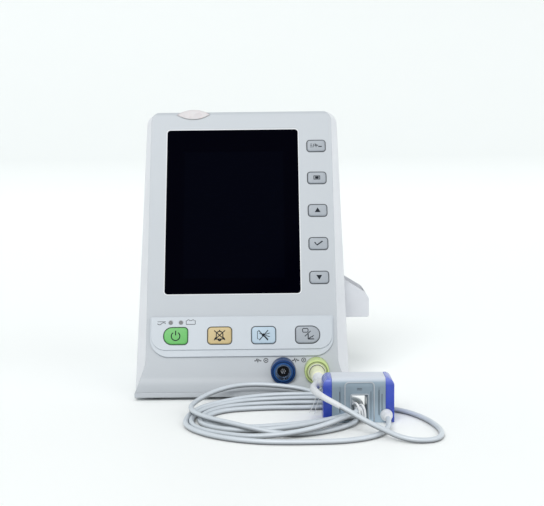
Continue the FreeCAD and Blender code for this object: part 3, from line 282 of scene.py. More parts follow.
def moulded(name, colour, rough=0.42, grain=0.012, edge=0.35, tone=0.06, **constants):
    """Moulded plastic: fine spark-eroded grain, slow tone drift and softened edges."""
    r = Recipe(name)
    slow = r.noise(38.0, 3.0)
    fine = r.noise(2600.0, 2.0)
    tinted = r.mix(slow.step(0.35, 0.3), shade(colour, 1 - tone), colour)
    rough_map = (fine * 0.10) + (slow * 0.06) + (rough - 0.08)
    normal = r.bump(fine, grain * MM, 0.6, r.soft_edges(edge * MM))
    return r.finish(tinted, rough_map, normal, **constants)


def metal(name, colour, rough, brushed=900.0):
    """Plated or brushed metal with fine streaks."""
    r = Recipe(name)
    x, y, z = r.axes()
    streak_place = r.add("ShaderNodeCombineXYZ", {}, x * brushed, y * 40.0, z * brushed)
    streaks = r.noise(1.0, 2.0, vector=streak_place)
    tinted = r.mix(streaks.step(0.3, 0.4), shade(colour, 0.86), colour)
    normal = r.bump(streaks, 0.004 * MM, 0.4, r.soft_edges(0.2 * MM))
    return r.finish(tinted, streaks * 0.16 + (rough - 0.08), normal, Metallic=1.0)


def rubber(name, colour, rough):
    """Matt rubber: fine grain, blotches of a darker tone and softened edges."""
    r = Recipe(name)
    fine = r.noise(1800.0, 3.0)
    blotch = r.noise(120.0, 2.0)
    tinted = r.mix(blotch.step(0.3, 0.4), shade(colour, 0.9), colour)
    normal = r.bump(fine, 0.01 * MM, 0.6, r.soft_edges(0.25 * MM))
    return r.finish(tinted, fine * 0.14 + (rough - 0.07), normal)


def circuit(name):
    """Green solder mask with a net of paler tracks."""
    r = Recipe(name)
    cells = r.add("ShaderNodeTexVoronoi", {"feature": "DISTANCE_TO_EDGE"}, Vector=r.where(), Scale=260.0)
    tracks = cells.step(0.02, 0.04)
    tinted = r.mix(tracks, (0.05, 0.30, 0.13), (0.012, 0.13, 0.05))
    return r.finish(tinted, tracks * 0.1 + 0.32, r.bump(tracks, 0.02 * MM, 0.5), Coat_Weight=0.3)


# ---- mesh helpers ------------------------------------------------------------

def lean_points(points):
    """Turns (u, v, t) in millimetres, drawn on the flat face, into frame metres."""
    points = np.asarray(points, dtype=float)
    u, v, t = points[..., 0], points[..., 1], points[..., 2]
    y = FACE_Y + v * math.sin(LEAN) - t * math.cos(LEAN)
    z = v * math.cos(LEAN) + t * math.sin(LEAN)
    return np.stack([u, y, z], axis=-1) * MM


def new_object(name, mesh, *materials):
    for material in materials:
        mesh.materials.append(material)
    made = bpy.data.objects.new(name, mesh)
    bpy.context.scene.collection.objects.link(made)
    return made


def grid_faces(rows, columns, closed=True):
    """Quads between neighbouring rows of a grid; closed joins the last column to the first."""
    i, j = np.meshgrid(np.arange(rows - 1), np.arange(columns if closed else columns - 1), indexing="ij")
    right = (j + 1) % columns
    corners = [i * columns + j, i * columns + right, (i + 1) * columns + right, (i + 1) * columns + j]
    return np.stack(corners, axis=-1).reshape(-1, 4)


def tube_faces(rows, columns, base=0, capped=True):
    """Quads of a closed tube whose points start at base, and one polygon over each end."""
    faces = (grid_faces(rows, columns) + base).tolist()
    if capped:
        first, last = range(base, base + columns), range(base + (rows - 1) * columns, base + rows * columns)
        faces += [list(first)[::-1], list(last)]
    return faces


def mesh_from(name, points, faces, smooth=True):
    mesh = bpy.data.meshes.new(name)
    mesh.from_pydata(np.asarray(points).reshape(-1, 3).tolist(), [], faces)
    mesh.validate()
    mesh.update()
    if smooth:
        mesh.shade_smooth()
    else:
        mesh.shade_flat()
    outward(mesh)
    return mesh


def ringed_mesh(name, rings, capped=True):
    """Rings of equal count, skinned; the end rings are closed by one polygon each."""
    rings = np.asarray(rings)
    return mesh_from(name, rings, tube_faces(*rings.shape[:2], capped=capped))


@contextmanager
def editing(mesh):
    """The mesh opened for bmesh and written back at the end."""
    work = bmesh.new()
    work.from_mesh(mesh)
    yield work
    work.to_mesh(mesh)
    work.free()


def outward(mesh):
    with editing(mesh) as work:
        bmesh.ops.recalc_face_normals(work, faces=work.faces)


def sharpen(mesh, degrees):
    mesh.shade_smooth()
    mesh.set_sharp_from_angle(angle=math.radians(degrees))


def lifted(outline, centre, t):
    """An outline moved to its centre on the leaning face and raised to t."""
    return np.column_stack([outline + centre, np.broadcast_to(t, len(outline))])


def rounded_outline(half_w, half_h, radii, steps=10):
    """Corner arcs of a rounded rectangle, anticlockwise from the right end, one radius per corner."""
    corners = ((1, -1, -90), (1, 1, 0), (-1, 1, 90), (-1, -1, 180))
    parts = []
    for (sx, sy, start), radius in zip(corners, radii):
        angle = np.radians(start + np.linspace(0, 90, steps))
        cx, cy = sx * (half_w - radius), sy * (half_h - radius)
        parts.append(np.stack([cx + radius * np.cos(angle), cy + radius * np.sin(angle)], axis=-1))
    return np.concatenate(parts)


def lathe(profile, start, direction, steps=64):
    """Spins (radius, distance) pairs round the axis: point = start + distance * axis + radius * spoke."""
    axis = Vector(direction).normalized()
    side = axis.orthogonal().normalized()
    up = axis.cross(side)
    angle = np.linspace(0, 2 * math.pi, steps, endpoint=False)
    spoke = np.outer(np.cos(angle), side) + np.outer(np.sin(angle), up)
    profile = np.asarray(profile, dtype=float)
    return (np.asarray(start) + profile[:, 1, None, None] * np.asarray(axis)
            + profile[:, 0, None, None] * spoke[None]) * MM


def softened(name, node, width, material, slot):
    """A merged copy of a CAD node whose sharp edges get a real round from a Bevel modifier."""
    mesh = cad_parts[node].data.copy()
    mesh.name = name
    mesh.materials.clear()
    with editing(mesh) as work:
        bmesh.ops.remove_doubles(work, verts=work.verts, dist=1e-6)
        bmesh.ops.dissolve_limit(work, angle_limit=math.radians(1.0), verts=work.verts, edges=work.edges)
    made = new_object(name, mesh, material)
    bevel = made.modifiers.new("Soft edges", "BEVEL")
    bevel.width, bevel.segments = width * MM, 3
    bevel.limit_method, bevel.angle_limit = "ANGLE", math.radians(40.0)
    sharpen(mesh, 50.0)
    settle(made, slot, node)


def paint(material, *nodes):
    """Gives carried-over CAD nodes their finish."""
    for node in nodes:
        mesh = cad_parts[node].data
        mesh.materials.clear()
        mesh.materials.append(material)


def settle(piece, slot, *nodes, body="housing"):
    """Rides the piece on its body and lets it stand for the CAD nodes; its slot is not used."""
    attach(piece, body)
    if nodes:
        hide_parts(*nodes)
    return piece


def ringed_piece(name, rings, material, slot, *nodes, capped=True):
    return settle(new_object(name, ringed_mesh(name, rings, capped), material), slot, *nodes)


def joined_piece(name, tubes, material, slot, *nodes):
    return settle(new_object(name, joined(name, tubes), material), slot, *nodes)


def bezier(a, b, c, d, steps=25):
    t = np.linspace(0, 1, steps)[:, None]
    a, b, c, d = (np.asarray(p, dtype=float) for p in (a, b, c, d))
    return (1 - t) ** 3 * a + 3 * (1 - t) ** 2 * t * b + 3 * (1 - t) * t ** 2 * c + t ** 3 * d


def swept(path, half_w, half_h, steps=10, across=(0.0, 1.0, 0.05)):
    """An oval profile carried along a path: centre + half_w cos(a) side + half_h sin(a) up, in metres."""
    path = np.asarray(path, dtype=float)
    along = np.gradient(path, axis=0)
    along /= np.linalg.norm(along, axis=1)[:, None]
    side = np.cross(along, across)
    side /= np.linalg.norm(side, axis=1)[:, None]
    up = np.cross(side, along)
    turn = np.linspace(0, 2 * math.pi, steps, endpoint=False)
    ring = half_w * np.cos(turn)[:, None, None] * side + half_h * np.sin(turn)[:, None, None] * up
    return (path + ring).transpose(1, 0, 2) * MM


def joined(name, tubes):
    """Closed tubes of different lengths in one mesh."""
    faces, base = [], 0
    for rings in tubes:
        rows, columns = rings.shape[:2]
        faces += tube_faces(rows, columns, base)
        base += rows * columns
    return mesh_from(name, np.concatenate([rings.reshape(-1, 3) for rings in tubes]), faces)


# ---- keys and marks ----------------------------------------------------------

def key_height(settings, half_w, half_h, top):
    """Height over a key: top less a shallow crown that falls as (x/a)^2 + (y/b)^2."""
    crown = settings.key_crown / MM

    def height(x, y):
        return top - crown * 0.5 * ((x / half_w) ** 2 + (y / half_h) ** 2)
    return height


def key_cap(name, centre, half, radii, heights, settings, material):
    """A soft key: inset copies of its outline carry a quarter-round edge and a crowned top."""
    edge = settings.key_round / MM
    top, bottom = heights
    height = key_height(settings, *half, top)
    edge_steps, crown_steps, middle, least_corner = 7, 8, 0.4, 0.35
    turns = np.linspace(0, math.pi / 2, edge_steps)
    inwards = np.linspace(edge, half[1] - middle, crown_steps + 1)[1:]
    insets = np.concatenate([[0.0], edge * (1 - np.cos(turns)), inwards])
    drops = np.concatenate([[top - bottom], edge * (1 - np.sin(turns)), np.zeros(crown_steps)])
    rings = []
    for inset, drop in zip(insets, drops):
        corners = [max(r - inset, least_corner) for r in radii]
        ring = rounded_outline(half[0] - inset, half[1] - inset, corners)
        rings.append(lifted(ring, centre, height(*ring.T) - drop))
    return new_object(name, ringed_mesh(name, lean_points(rings)), material), height


def key_shade_ring(name, centre, half, radii, level, material):
    """A thin dark lip round a key, partly painted shade of the gap round it and partly its dark outline: five
    rounded outlines joined in a low closed ring.
    """
    rings = []
    for grow, lift in ((0.10, -0.3), (0.10, 0.10), (0.4, 0.16), (0.72, 0.02), (0.72, -0.3)):
        ring = rounded_outline(half[0] + grow, half[1] + grow, [r + grow for r in radii])
        rings.append(lifted(ring, centre, level + lift))
    rings.append(rings[0])
    mesh = ringed_mesh(name, lean_points(rings), capped=False)
    with editing(mesh) as work:
        bmesh.ops.remove_doubles(work, verts=work.verts, dist=1e-7)
    outward(mesh)
    settle(new_object(name, mesh, material), "black_foam")


def stroke(points, width):
    """A ribbon round a line: each point moves half a width along the mean normal, both ways."""
    points = np.asarray(points, dtype=float)
    along = np.gradient(points, axis=0)
    along /= np.linalg.norm(along, axis=1)[:, None] + 1e-12
    normal = np.stack([-along[:, 1], along[:, 0]], axis=-1) * width / 2
    return np.concatenate([points + normal, (points - normal)[::-1]])


def arc(cx, cy, radius, start, end, steps=24):
    angle = np.radians(np.linspace(start, end, steps))
    return np.stack([cx + radius * np.cos(angle), cy + radius * np.sin(angle)], axis=-1)


def marks(name, shapes, place, thickness, material):
    """Thin printed solids: each outline is filled, laid on the surface by place(x, y, lift) and closed below.

    An even outline of more than six points is a stroke, filled by quads between its two sides.
    """
    vertices, faces, base = [], [], 0
    for outline in shapes:
        count = len(outline)
        vertices += [place(*outline.T, -thickness), place(*outline.T, thickness)]
        if count % 2 == 0 and count > 6:
            strips = [(k, k + 1, count - 2 - k, count - 1 - k) for k in range(count // 2 - 1)]
        else:
            strips = [tuple(range(count))]
        faces += [[base + count + k for k in s] for s in strips]
        faces += [[base + k for k in s][::-1] for s in strips]
        faces += [[base + k, base + (k + 1) % count, base + count + (k + 1) % count, base + count + k]
                  for k in range(count)]
        base += 2 * count
    return new_object(name, mesh_from(name, np.concatenate(vertices), faces, smooth=False), material)


def line(x0, y0, x1, y1, steps=6):
    return np.stack([np.linspace(x0, x1, steps), np.linspace(y0, y1, steps)], axis=-1)


def bar(x0, y0, x1, y1, width, steps=6):
    return stroke(line(x0, y0, x1, y1, steps), width)


def power_icon():
    return [stroke(arc(0, -0.3, 3.6, 125, 415, 40), 0.85), bar(0, 0.4, 0, 4.4, 0.9)]


def bell_icon():
    """A bell under a cross."""
    left = np.concatenate([line(-4.2, -3.0, -2.8, -1.4, 5), arc(0, 0.6, 2.8, 195, 92, 16)])
    right = left[::-1] * (-1, 1)
    return [stroke(left, 0.8), stroke(right, 0.8), bar(-4.4, -3.1, 4.4, -3.1, 0.8),
            stroke(arc(0, -3.4, 1.0, 180, 360, 10), 1.1), bar(-4.6, 4.2, 4.6, -4.0, 0.75),
            bar(4.6, 4.2, -4.6, -4.0, 0.75), bar(0, 3.3, 0, 4.6, 0.9, 4)]


def mute_icon():
    """A loudspeaker under a cross, with four rays from its middle."""
    horn = np.array([[-3.8, -3.4], [-5.2, -3.4], [-5.2, 3.2], [-3.8, 3.2]])
    near, far = 1.4, 5.4
    rays = [bar(near * math.cos(a), near * math.sin(a), far * math.cos(a), far * math.sin(a), 0.6)
            for a in np.radians((-46, -17, 17, 46))]
    return [stroke(horn, 0.5), bar(-3.6, 1.4, -0.2, 0.1, 0.6), bar(-4.2, 4.0, 3.6, -4.6, 0.7),
            bar(-3.6, -4.4, 3.8, 4.0, 0.7), arc(-0.2, -0.1, 1.4, 0, 360, 17)[:-1], *rays]


def trend_icon():
    """A rounded screen with a slope, and axes with a curve."""
    corners = ((-3.3, 4.2, 180), (-0.5, 4.2, 90), (-0.5, 2.8, 0), (-3.3, 2.8, -90))
    arcs = [arc(x, y, 0.9, start, start - 90, 6) for x, y, start in corners]
    screen = np.concatenate([*arcs, [[-4.2, 4.2]]])
    axes = np.concatenate([line(0.4, 0.6, 0.4, -3.9, 5), line(0.7, -3.9, 5.4, -3.9, 5)])
    curve = np.array([[1.0, -3.3], [2.2, -2.7], [3.0, -1.9], [3.6, -2.3], [4.8, -0.8]])
    return [stroke(screen, 0.6), bar(-2.4, -1.6, 2.6, 3.0, 0.6), stroke(axes, 0.8), stroke(curve, 0.7)]


def side_icons():
    """The side keys' symbols from the lowest up: down, tick, up, joined blocks, and a wave with a list."""
    wave = np.array([[-1.1, -0.4], [-0.6, 1.9], [0.1, -1.5], [0.6, 1.2], [1.0, -0.5], [1.7, 0.6]])
    rows = [bar(-5.2, y, -3.4, y, 0.5) for y in (1.5, 0.1, -1.3)]
    return ([np.array([[-2.5, 1.9], [0.0, -2.3], [2.5, 1.9]])],
            [stroke(np.array([[-3.3, 1.0], [-1.2, -1.5], [3.6, 2.0]]), 1.15)],
            [np.array([[-2.5, -1.8], [2.5, -1.8], [0.0, 2.4]])],
            [bar(-2.9, 0.0, -2.2, 0.0, 3.0), bar(2.2, 0.0, 2.9, 0.0, 3.0), bar(-2.9, 1.6, 2.9, 1.6, 0.5),
             bar(-2.9, -1.6, 2.9, -1.6, 0.5), bar(-1.5, 0.0, 1.6, 0.0, 2.2)],
            [stroke(wave, 0.6), bar(-2.8, -1.7, -1.7, 1.9, 0.5), bar(2.0, -0.9, 5.0, -0.9, 0.9), *rows])


def ink(colour):
    r = Recipe("Printed ink")
    fine = r.noise(2200.0)
    tinted = r.mix(fine.step(0.3, 0.5), shade(colour, 1.5), colour)
    return r.finish(tinted, fine * 0.1 + 0.6, Specular_IOR_Level=0.1)


def key_material(name, colour):
    """A soft key: satin skin under a thin coat, with a faint slow change of tone."""
    r = Recipe(name)
    fine = r.noise(2400.0, 3.0)
    slow = r.noise(160.0)
    tinted = r.mix(slow.step(0.3, 0.5), shade(colour, 0.94), colour)
    normal = r.bump(fine, 0.008 * MM, 0.5)
    return r.finish(tinted, fine * 0.12 + 0.34, normal, Coat_Weight=0.25, Coat_Roughness=0.35)


class MONITOR_OT_keys(bpy.types.Operator):
    """Replace the nine keys with crowned soft keys and print their symbols"""
    bl_idname = "monitor.make_keys"
    bl_label = "Keys"

    def execute(self, context):
        colours, sizes = context.scene.monitor_colours, context.scene.monitor_sizes
        finish = {"printed": ink(colours.ink), "sizes": sizes}
        grey = key_material("Grey key", colours.grey_key)
        green = key_material("Green key", colours.green_key)
        orange = key_material("Orange key", colours.orange_key)
        blue = key_material("Blue key", colours.blue_key)
        # Painted shade: a dark lip round each key stands for the shaded gap, partly also the key's dark
        # outline.
        shade_ring = rubber("Key seal", (0.055, 0.062, 0.07), 0.6)
        inner, outer = (INNER_CORNER,) * 2, (OUTER_CORNER,) * 2
        front = (("power_key", green, "key_green", power_icon(), inner + outer),
                 ("alarm_key", orange, "key_orange", bell_icon(), inner * 2),
                 ("mute_key", blue, "key_blue", mute_icon(), inner * 2),
                 ("trend_key", grey, "key_grey", trend_icon(), outer + inner))
        for i, (node, skin, slot, icon, radii) in enumerate(front):
            place = (FRONT_KEY_U + i * FRONT_KEY_PITCH, FRONT_KEY_V), FRONT_KEY_HALF, radii
            self.one_key(node, place, FRONT_KEY_HEIGHTS, skin, slot, icon, **finish)
            key_shade_ring("seal_" + node, *place, PANEL_LEVEL, shade_ring)
        for i, icon in enumerate(side_icons()):
            place = (SIDE_KEY_U, SIDE_KEY_V + i * SIDE_KEY_PITCH), SIDE_KEY_HALF, (SIDE_KEY_CORNER,) * 4
            self.one_key("side_key_" + str(i + 1), place, SIDE_KEY_HEIGHTS, grey, "key_grey", icon, **finish)
            key_shade_ring("seal_side_" + str(i + 1), *place, 0.0, shade_ring)
        return {"FINISHED"}

    def one_key(self, node, outline, heights, skin, slot, icon, printed, sizes):
        """A cap on the key's own body, with its symbol printed on the crown."""
        cap, height = key_cap(node + "_cap", *outline, heights, sizes, skin)
        body = node + "_body"
        settle(cap, slot, node, body=body)

        def place(x, y, side):
            return lean_points(lifted(np.column_stack([x, y]), outline[0], height(x, y) + side))

        symbol = marks(node + "_symbol", icon, place, sizes.ink_height / MM, printed)
        settle(symbol, "black_plastic", body=body)


# ---- housing -----------------------------------------------------------------

def housing_material(colours):
    """White shell: faces turned sideways take the paler side colour, light painted on the same plastic, and
    both darken to the foot as painted shade.
    """
    r = Recipe("Housing plastic")
    slow = r.noise(22.0, 3.0)
    fine = r.noise(2400.0, 2.0)
    across = r.facing()[0]
    # Painted shade: front and side colours both darken towards the foot.
    rise = r.axes()[2].step(0.0, 230 * MM)
    front = r.mix(rise, shade(colours.housing, 0.90), colours.housing)
    # Painted light: faces turned sideways take the paler side colour.
    lit_sides = r.mix(rise, shade(colours.side, 0.93), colours.side)
    tinted = r.mix((across * across).step(0.02, 0.10), front, lit_sides)
    tinted = r.mix(slow.step(0.4, 0.3) * 0.2, tinted, (0.52, 0.55, 0.58))
    return r.finish(tinted, fine * 0.1 + 0.38, r.bump(fine, 0.012 * MM, 0.5, r.soft_edges(0.7 * MM)))


class MONITOR_OT_housing(bpy.types.Operator):
    """Give the shell, key panel, door, holder and small hardware their finishes"""
    bl_idname = "monitor.make_housing"
    bl_label = "Housing"

    def execute(self, context):
        colours = context.scene.monitor_colours
        paint(housing_material(colours), "front_bezel", "rear_case")
        # The holder and the battery door take the paler side colour, light painted on the shell's plastic.
        paint(moulded("Holder plastic", shade(colours.side, 0.88), rough=0.4, edge=0.6), "side_holder")
        paint(moulded("Key panel plastic", colours.panel, rough=0.34, tone=0.03), "key_panel")
        paint(moulded("Door plastic", shade(colours.side, 0.94), rough=0.45), "battery_door")
        paint(metal("Zinc plated steel", (0.60, 0.61, 0.62), 0.32), "lcd_bracket", "board_screws",
              "case_screws", "inlet_screws", "holder_screws", "hinge_pin")
        paint(circuit("Circuit board"), "main_board", "lamp_board", "side_key_board", "front_key_board",
              "connector_board", "power_module")
        paint(metal("Turned brass", (0.72, 0.53, 0.22), 0.3), "case_inserts", "base_inserts")
        paint(metal("Nickel plate", (0.74, 0.72, 0.66), 0.22), "earth_post")
        paint(rubber("Foot rubber", (0.035, 0.036, 0.04), 0.7), "rubber_feet")
        paint(rubber("Foam tape", (0.015, 0.015, 0.016), 0.85), "window_gasket")
        black = moulded("Black socket plastic", (0.018, 0.018, 0.02), rough=0.4, tone=0.2)
        paint(black, "mains_inlet", "network_port", "speaker")
        paint(moulded("Battery sleeve", (0.03, 0.033, 0.04), rough=0.35, tone=0.2), "battery_pack")
        smoked = moulded("Smoked lens", (0.03, 0.034, 0.04), rough=0.22, edge=0.3, Coat_Weight=0.5)
        paint(smoked, "indicator_leds")
        return {"FINISHED"}


class MONITOR_OT_screen(bpy.types.Operator):
    """Finish the dark window, the display behind it and the alarm lamp"""
    bl_idname = "monitor.make_screen"
    bl_label = "Screen and lamp"

    def execute(self, context):
        paint(self.window(), "screen_window")
        paint(moulded("Display glass", (0.01, 0.01, 0.012), rough=0.2), "lcd_module")
        paint(self.lamp(context.scene.monitor_colours.lamp), "alarm_lamp")
        return {"FINISHED"}

    def window(self):
        """Dark glass, a touch paler over the display's picture area."""
        low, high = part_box("lcd_module")
        r = Recipe("Dark window")
        x, _, z = r.axes()
        half_w, half_h = PICTURE_HALF[0] * MM, PICTURE_HALF[1] * MM * math.cos(LEAN)
        inside_x = 1.0 - abs(x - (low[0] + high[0]) / 2).step(half_w, 0.4 * MM)
        inside_z = 1.0 - abs(z - (low[2] + high[2]) / 2).step(half_h, 0.4 * MM)
        colour = r.mix(inside_x * inside_z, (0.0003, 0.0004, 0.0024), (0.0006, 0.0009, 0.0034))
        smear = r.noise(30.0, 3.0)
        return r.finish(colour, smear * 0.05 + 0.05, r.soft_edges(0.35 * MM), Specular_IOR_Level=0.002)

    def lamp(self, colour):
        r = Recipe("Frosted lamp")
        cloud = r.noise(90.0, 2.0)
        tinted = r.mix(cloud.step(0.3, 0.4), colour, (0.575, 0.555, 0.565))
        return r.finish(tinted, cloud * 0.1 + 0.22, r.soft_edges(1.2 * MM), Subsurface_Weight=0.2,
                        Subsurface_Radius=(0.01, 0.006, 0.006), Subsurface_Scale=0.4)


# ---- rims and pictograms -----------------------------------------------------

class MONITOR_OT_labels(bpy.types.Operator):
    """Add the window's pale rim, a painted highlight of the bezel's edge, the lamp rings and the plain
    pictograms of the panel and sockets
    """
    bl_idname = "monitor.make_labels"
    bl_label = "Rims and pictograms"

    def execute(self, context):
        # Painted highlight: a pale lip round the window stands for light on the bezel's edge.
        self.window_highlight_rim(moulded("Painted highlight rim", (0.80, 0.82, 0.84), rough=0.3))
        self.led_rings(moulded("Lamp ring", (0.34, 0.36, 0.38), rough=0.35))
        grey = moulded("Grey print", (0.06, 0.065, 0.075), rough=0.6, grain=0.004, edge=0.05)
        self.print_on_face("panel_pictograms", self.supply_icons(), PANEL_LEVEL, grey)
        self.print_on_face("socket_pictograms", self.socket_icons(), 0.0, grey)
        return {"FINISHED"}

    def window_highlight_rim(self, material):
        """A low rounded lip whose pale colour is a painted highlight of the bezel's edge: six outlines from
        the window's edge outwards, then the first one again.
        """
        rings = []
        profile = ((0.0, -0.4), (0.0, 0.05), (0.25, 0.22), (0.55, 0.14), (0.85, 0.0), (0.85, -0.4),
                   (0.0, -0.4))
        for grow, t in profile:
            ring = rounded_outline(WINDOW_HALF[0] + grow, WINDOW_HALF[1] + grow, (WINDOW_CORNER + grow,) * 4)
            rings.append(lifted(ring, WINDOW_CENTRE, t))
        ringed_piece("window_highlight_rim", lean_points(rings), material, "panel_white", capped=False)

    def led_rings(self, material):
        """Two small domed rims round the indicator lenses."""
        turn = np.linspace(0, 2 * math.pi, 33)[:-1]
        circle = np.column_stack([np.cos(turn), np.sin(turn)])
        inner = INDICATOR_R
        profile = ((inner, 2.0), (inner, 2.4), (1.7, 2.5), (1.95, 2.35), (2.0, 2.0), (inner, 2.0))
        parts = [lean_points([lifted(circle * radius, (u, INDICATOR_V), t) for radius, t in profile])
                 for u in INDICATOR_U]
        joined_piece("lamp_rings", parts, material, "dark_lens")

    def supply_icons(self):
        """A mains wave over a line, left, and the outline of a battery, right."""
        wave_x = np.linspace(0, 7.0, 15)
        wave = np.column_stack([-70.8 + wave_x, 62.7 - 0.9 * np.sin(wave_x * 2 * math.pi / 7.0)])
        shell = np.array([
            [-46.6, 61.9], [-46.6, 65.1], [-45.4, 65.1], [-45.4, 65.8], [-44.0, 65.8], [-44.0, 65.1],
            [-41.6, 65.1], [-41.6, 65.8], [-40.2, 65.8], [-40.2, 65.1], [-39.0, 65.1], [-39.0, 61.9]])
        return [bar(-70.8, 64.4, -63.8, 64.4, 0.5), stroke(wave, 0.55), stroke(shell, 0.5),
                bar(-46.6, 61.9, -39.0, 61.9, 0.5)]

    def socket_icons(self):
        """A pulse line and a ringed dot beside each socket, standing for what plugs in there."""
        pulse = np.array([[-5.0, -0.2], [-3.6, -0.2], [-2.9, 1.2], [-2.0, -1.3], [-1.3, 0.9], [-0.6, -0.2],
                          [0.8, -0.2]])
        shapes = []
        for u in SIGN_U:
            shapes.append(stroke(pulse * (1.0, 1.4) + (u, SIGN_V), 1.0))
            shapes.append(stroke(arc(u + 4.6, SIGN_V, 1.7, 0, 352, 24), 0.7))
            shapes.append(arc(u + 4.6, SIGN_V, 0.7, 0, 360, 13)[:-1])
        return shapes

    def print_on_face(self, name, shapes, level, material):
        def place(x, y, side):
            return lean_points(lifted(np.column_stack([x, y]), 0.0, level + side))

        settle(marks(name, shapes, place, PRINT_LIFT, material), "black_plastic")


# ---- sockets and plug --------------------------------------------------------

class MONITOR_OT_sockets(bpy.types.Operator):
    """Finish the two sockets and build the contacts, the moulded plug, its ribbed boot and a black ring of
    painted shadow in the socket's mouth
    """
    bl_idname = "monitor.make_sockets"
    bl_label = "Sockets and plug"

    def execute(self, context):
        colours = context.scene.monitor_colours
        blue = self.collar("Blue collar", OXYGEN_X, colours.collar_blue,
                           inner=(0.014, 0.090, 0.31), lip=(0.04, 0.09, 0.20))
        green = self.collar("Green collar", GAS_X, colours.collar_green,
                            inner=(0.60, 0.68, 0.36), lip=(0.78, 0.82, 0.66))
        core = moulded("Socket core", (0.006, 0.006, 0.008), rough=0.4, tone=0.2, Specular_IOR_Level=0.2)
        paint(blue, "oxygen_collar")
        paint(green, "gas_collar")
        paint(metal("Polished chrome", (0.16, 0.21, 0.30), 0.2, 200.0), "oxygen_shell")
        paint(moulded("White ring", (0.80, 0.83, 0.80), rough=0.25), "gas_shell")
        paint(core, "oxygen_core", "gas_core")
        self.contacts()
        self.plug(moulded("Plug shell", colours.plug, rough=0.28, edge=0.2, tone=0.08, Coat_Weight=0.2))
        self.boot(rubber("Boot rubber", (0.74, 0.765, 0.79), 0.5))
        # Painted shadow: a black ring stands for the shaded recess between plug and socket.
        self.shade_ring(rubber("Black seal", (0.012, 0.012, 0.014), 0.45))
        return {"FINISHED"}

    def collar(self, name, axis_x, outer, inner, lip):
        """Lip, inner wall, dark step and outer ring, told apart by distance from the socket's axis; the dark
        step is painted shade of the groove.
        """
        lip_r, wall_r, step_r = 7.0 * MM, 8.0 * MM, 8.7 * MM
        r = Recipe(name)
        x, _, z = r.axes()
        away_x, away_z = x - axis_x * MM, z - SOCKET_Z * MM
        radius = r.add("ShaderNodeMath", {"operation": "SQRT"}, away_x * away_x + away_z * away_z)
        fine = r.noise(1800.0)
        tinted = r.mix(radius.step(lip_r, 0.2 * MM), lip, inner)
        # Painted shade: a dark band between inner wall and outer ring for the groove's shadow.
        tinted = r.mix(radius.step(wall_r, 0.2 * MM), tinted, shade(outer, 0.45))
        tinted = r.mix(radius.step(step_r, 0.1 * MM), tinted, outer)
        normal = r.bump(fine, 0.006 * MM, 0.5, r.soft_edges(0.3 * MM))
        return r.finish(tinted, fine * 0.1 + 0.25, normal, Specular_IOR_Level=0.25)

    def contacts(self):
        """Seven contacts standing a little proud of the core of the oxygen socket, one in the middle."""
        circle_r, steps = 1.75, 16
        around = np.radians(np.arange(0, 360, 60))
        places = [(0.0, 0.0)] + [(circle_r * math.cos(a), circle_r * math.sin(a)) for a in around]
        profile = [(0.001, -0.9), (0.45, -0.8), (0.70, -0.4), (0.70, 2.0), (0.001, 2.0)]
        rings = [lathe(profile, (OXYGEN_X + dx, CONTACT_Y, SOCKET_Z + dz), (0, 1, 0), steps)
                 for dx, dz in places]
        faces = []
        for i in range(len(places)):
            faces += tube_faces(len(profile), steps, i * len(profile) * steps, capped=False)
        mesh = mesh_from("socket_contacts", rings, faces)
        pale = metal("Contact plating", (0.80, 0.80, 0.80), 0.4)
        settle(new_object("socket_contacts", mesh, pale), "plated_brass")

    def plug(self, material):
        """A spun profile: a shaft in the socket, a grooved shoulder and a barrel narrowing to the boot."""
        profile = [(0.01, 5.0), (5.4, 5.0), (5.5, 4.6), (5.5, 0.0), (5.6, -0.45), (5.95, -0.9),
                   (6.05, -2.0), (5.9, -2.3), (5.9, -2.7), (6.1, -3.0), (6.2, -5.0), (6.15, -8.0),
                   (6.0, -11.0), (5.8, -14.0), (5.6, -17.0), (5.4, -18.9), (5.0, -20.0), (4.2, -20.4),
                   (0.01, -20.4)]
        rings = lathe(profile, (GAS_X, PLUG_Y, SOCKET_Z), (0, 1, 0))
        shell = ringed_piece("plug_shell", rings, material, "plug_cream", "gas_plug")
        sharpen(shell.data, 45)

    def boot(self, material):
        """A spun taper: radius = thick - taper * s^0.8, plus low cosine ribs, s being the share of length."""
        ribs, rib_height, thick, taper = 5, 0.16, 4.5, 1.15
        reach = BOOT_TIP_Y - BOOT_ROOT_Y
        steps = np.linspace(0, 1, 61)
        wave = rib_height * np.maximum(np.cos(2 * math.pi * ribs * steps), -0.2) * (steps < 0.93)
        side = np.column_stack([thick - taper * steps ** 0.8 + wave, steps * reach])
        profile = np.concatenate([[(0.01, 0.0)], side, [(0.01, reach)]])
        rings = lathe(profile, (GAS_X, BOOT_ROOT_Y, SOCKET_Z), (0, 1, 0))
        ringed_piece("plug_boot_ribbed", rings, material, "boot_white", "plug_boot")

    def shade_ring(self, material):
        """A black ring round the plug, in the mouth of its socket: painted shadow of the recess there."""
        profile = [(5.62, -0.3), (6.0, -0.25), (6.35, -0.45), (6.45, -0.9), (6.35, -1.35), (6.0, -1.5),
                   (5.62, -1.45), (5.62, -0.3)]
        rings = lathe(profile, (GAS_X, PLUG_Y, SOCKET_Z), (0, 1, 0))
        ringed_piece("gas_shade_ring", rings, material, "black_foam", capped=False)


# ---- sensor ------------------------------------------------------------------

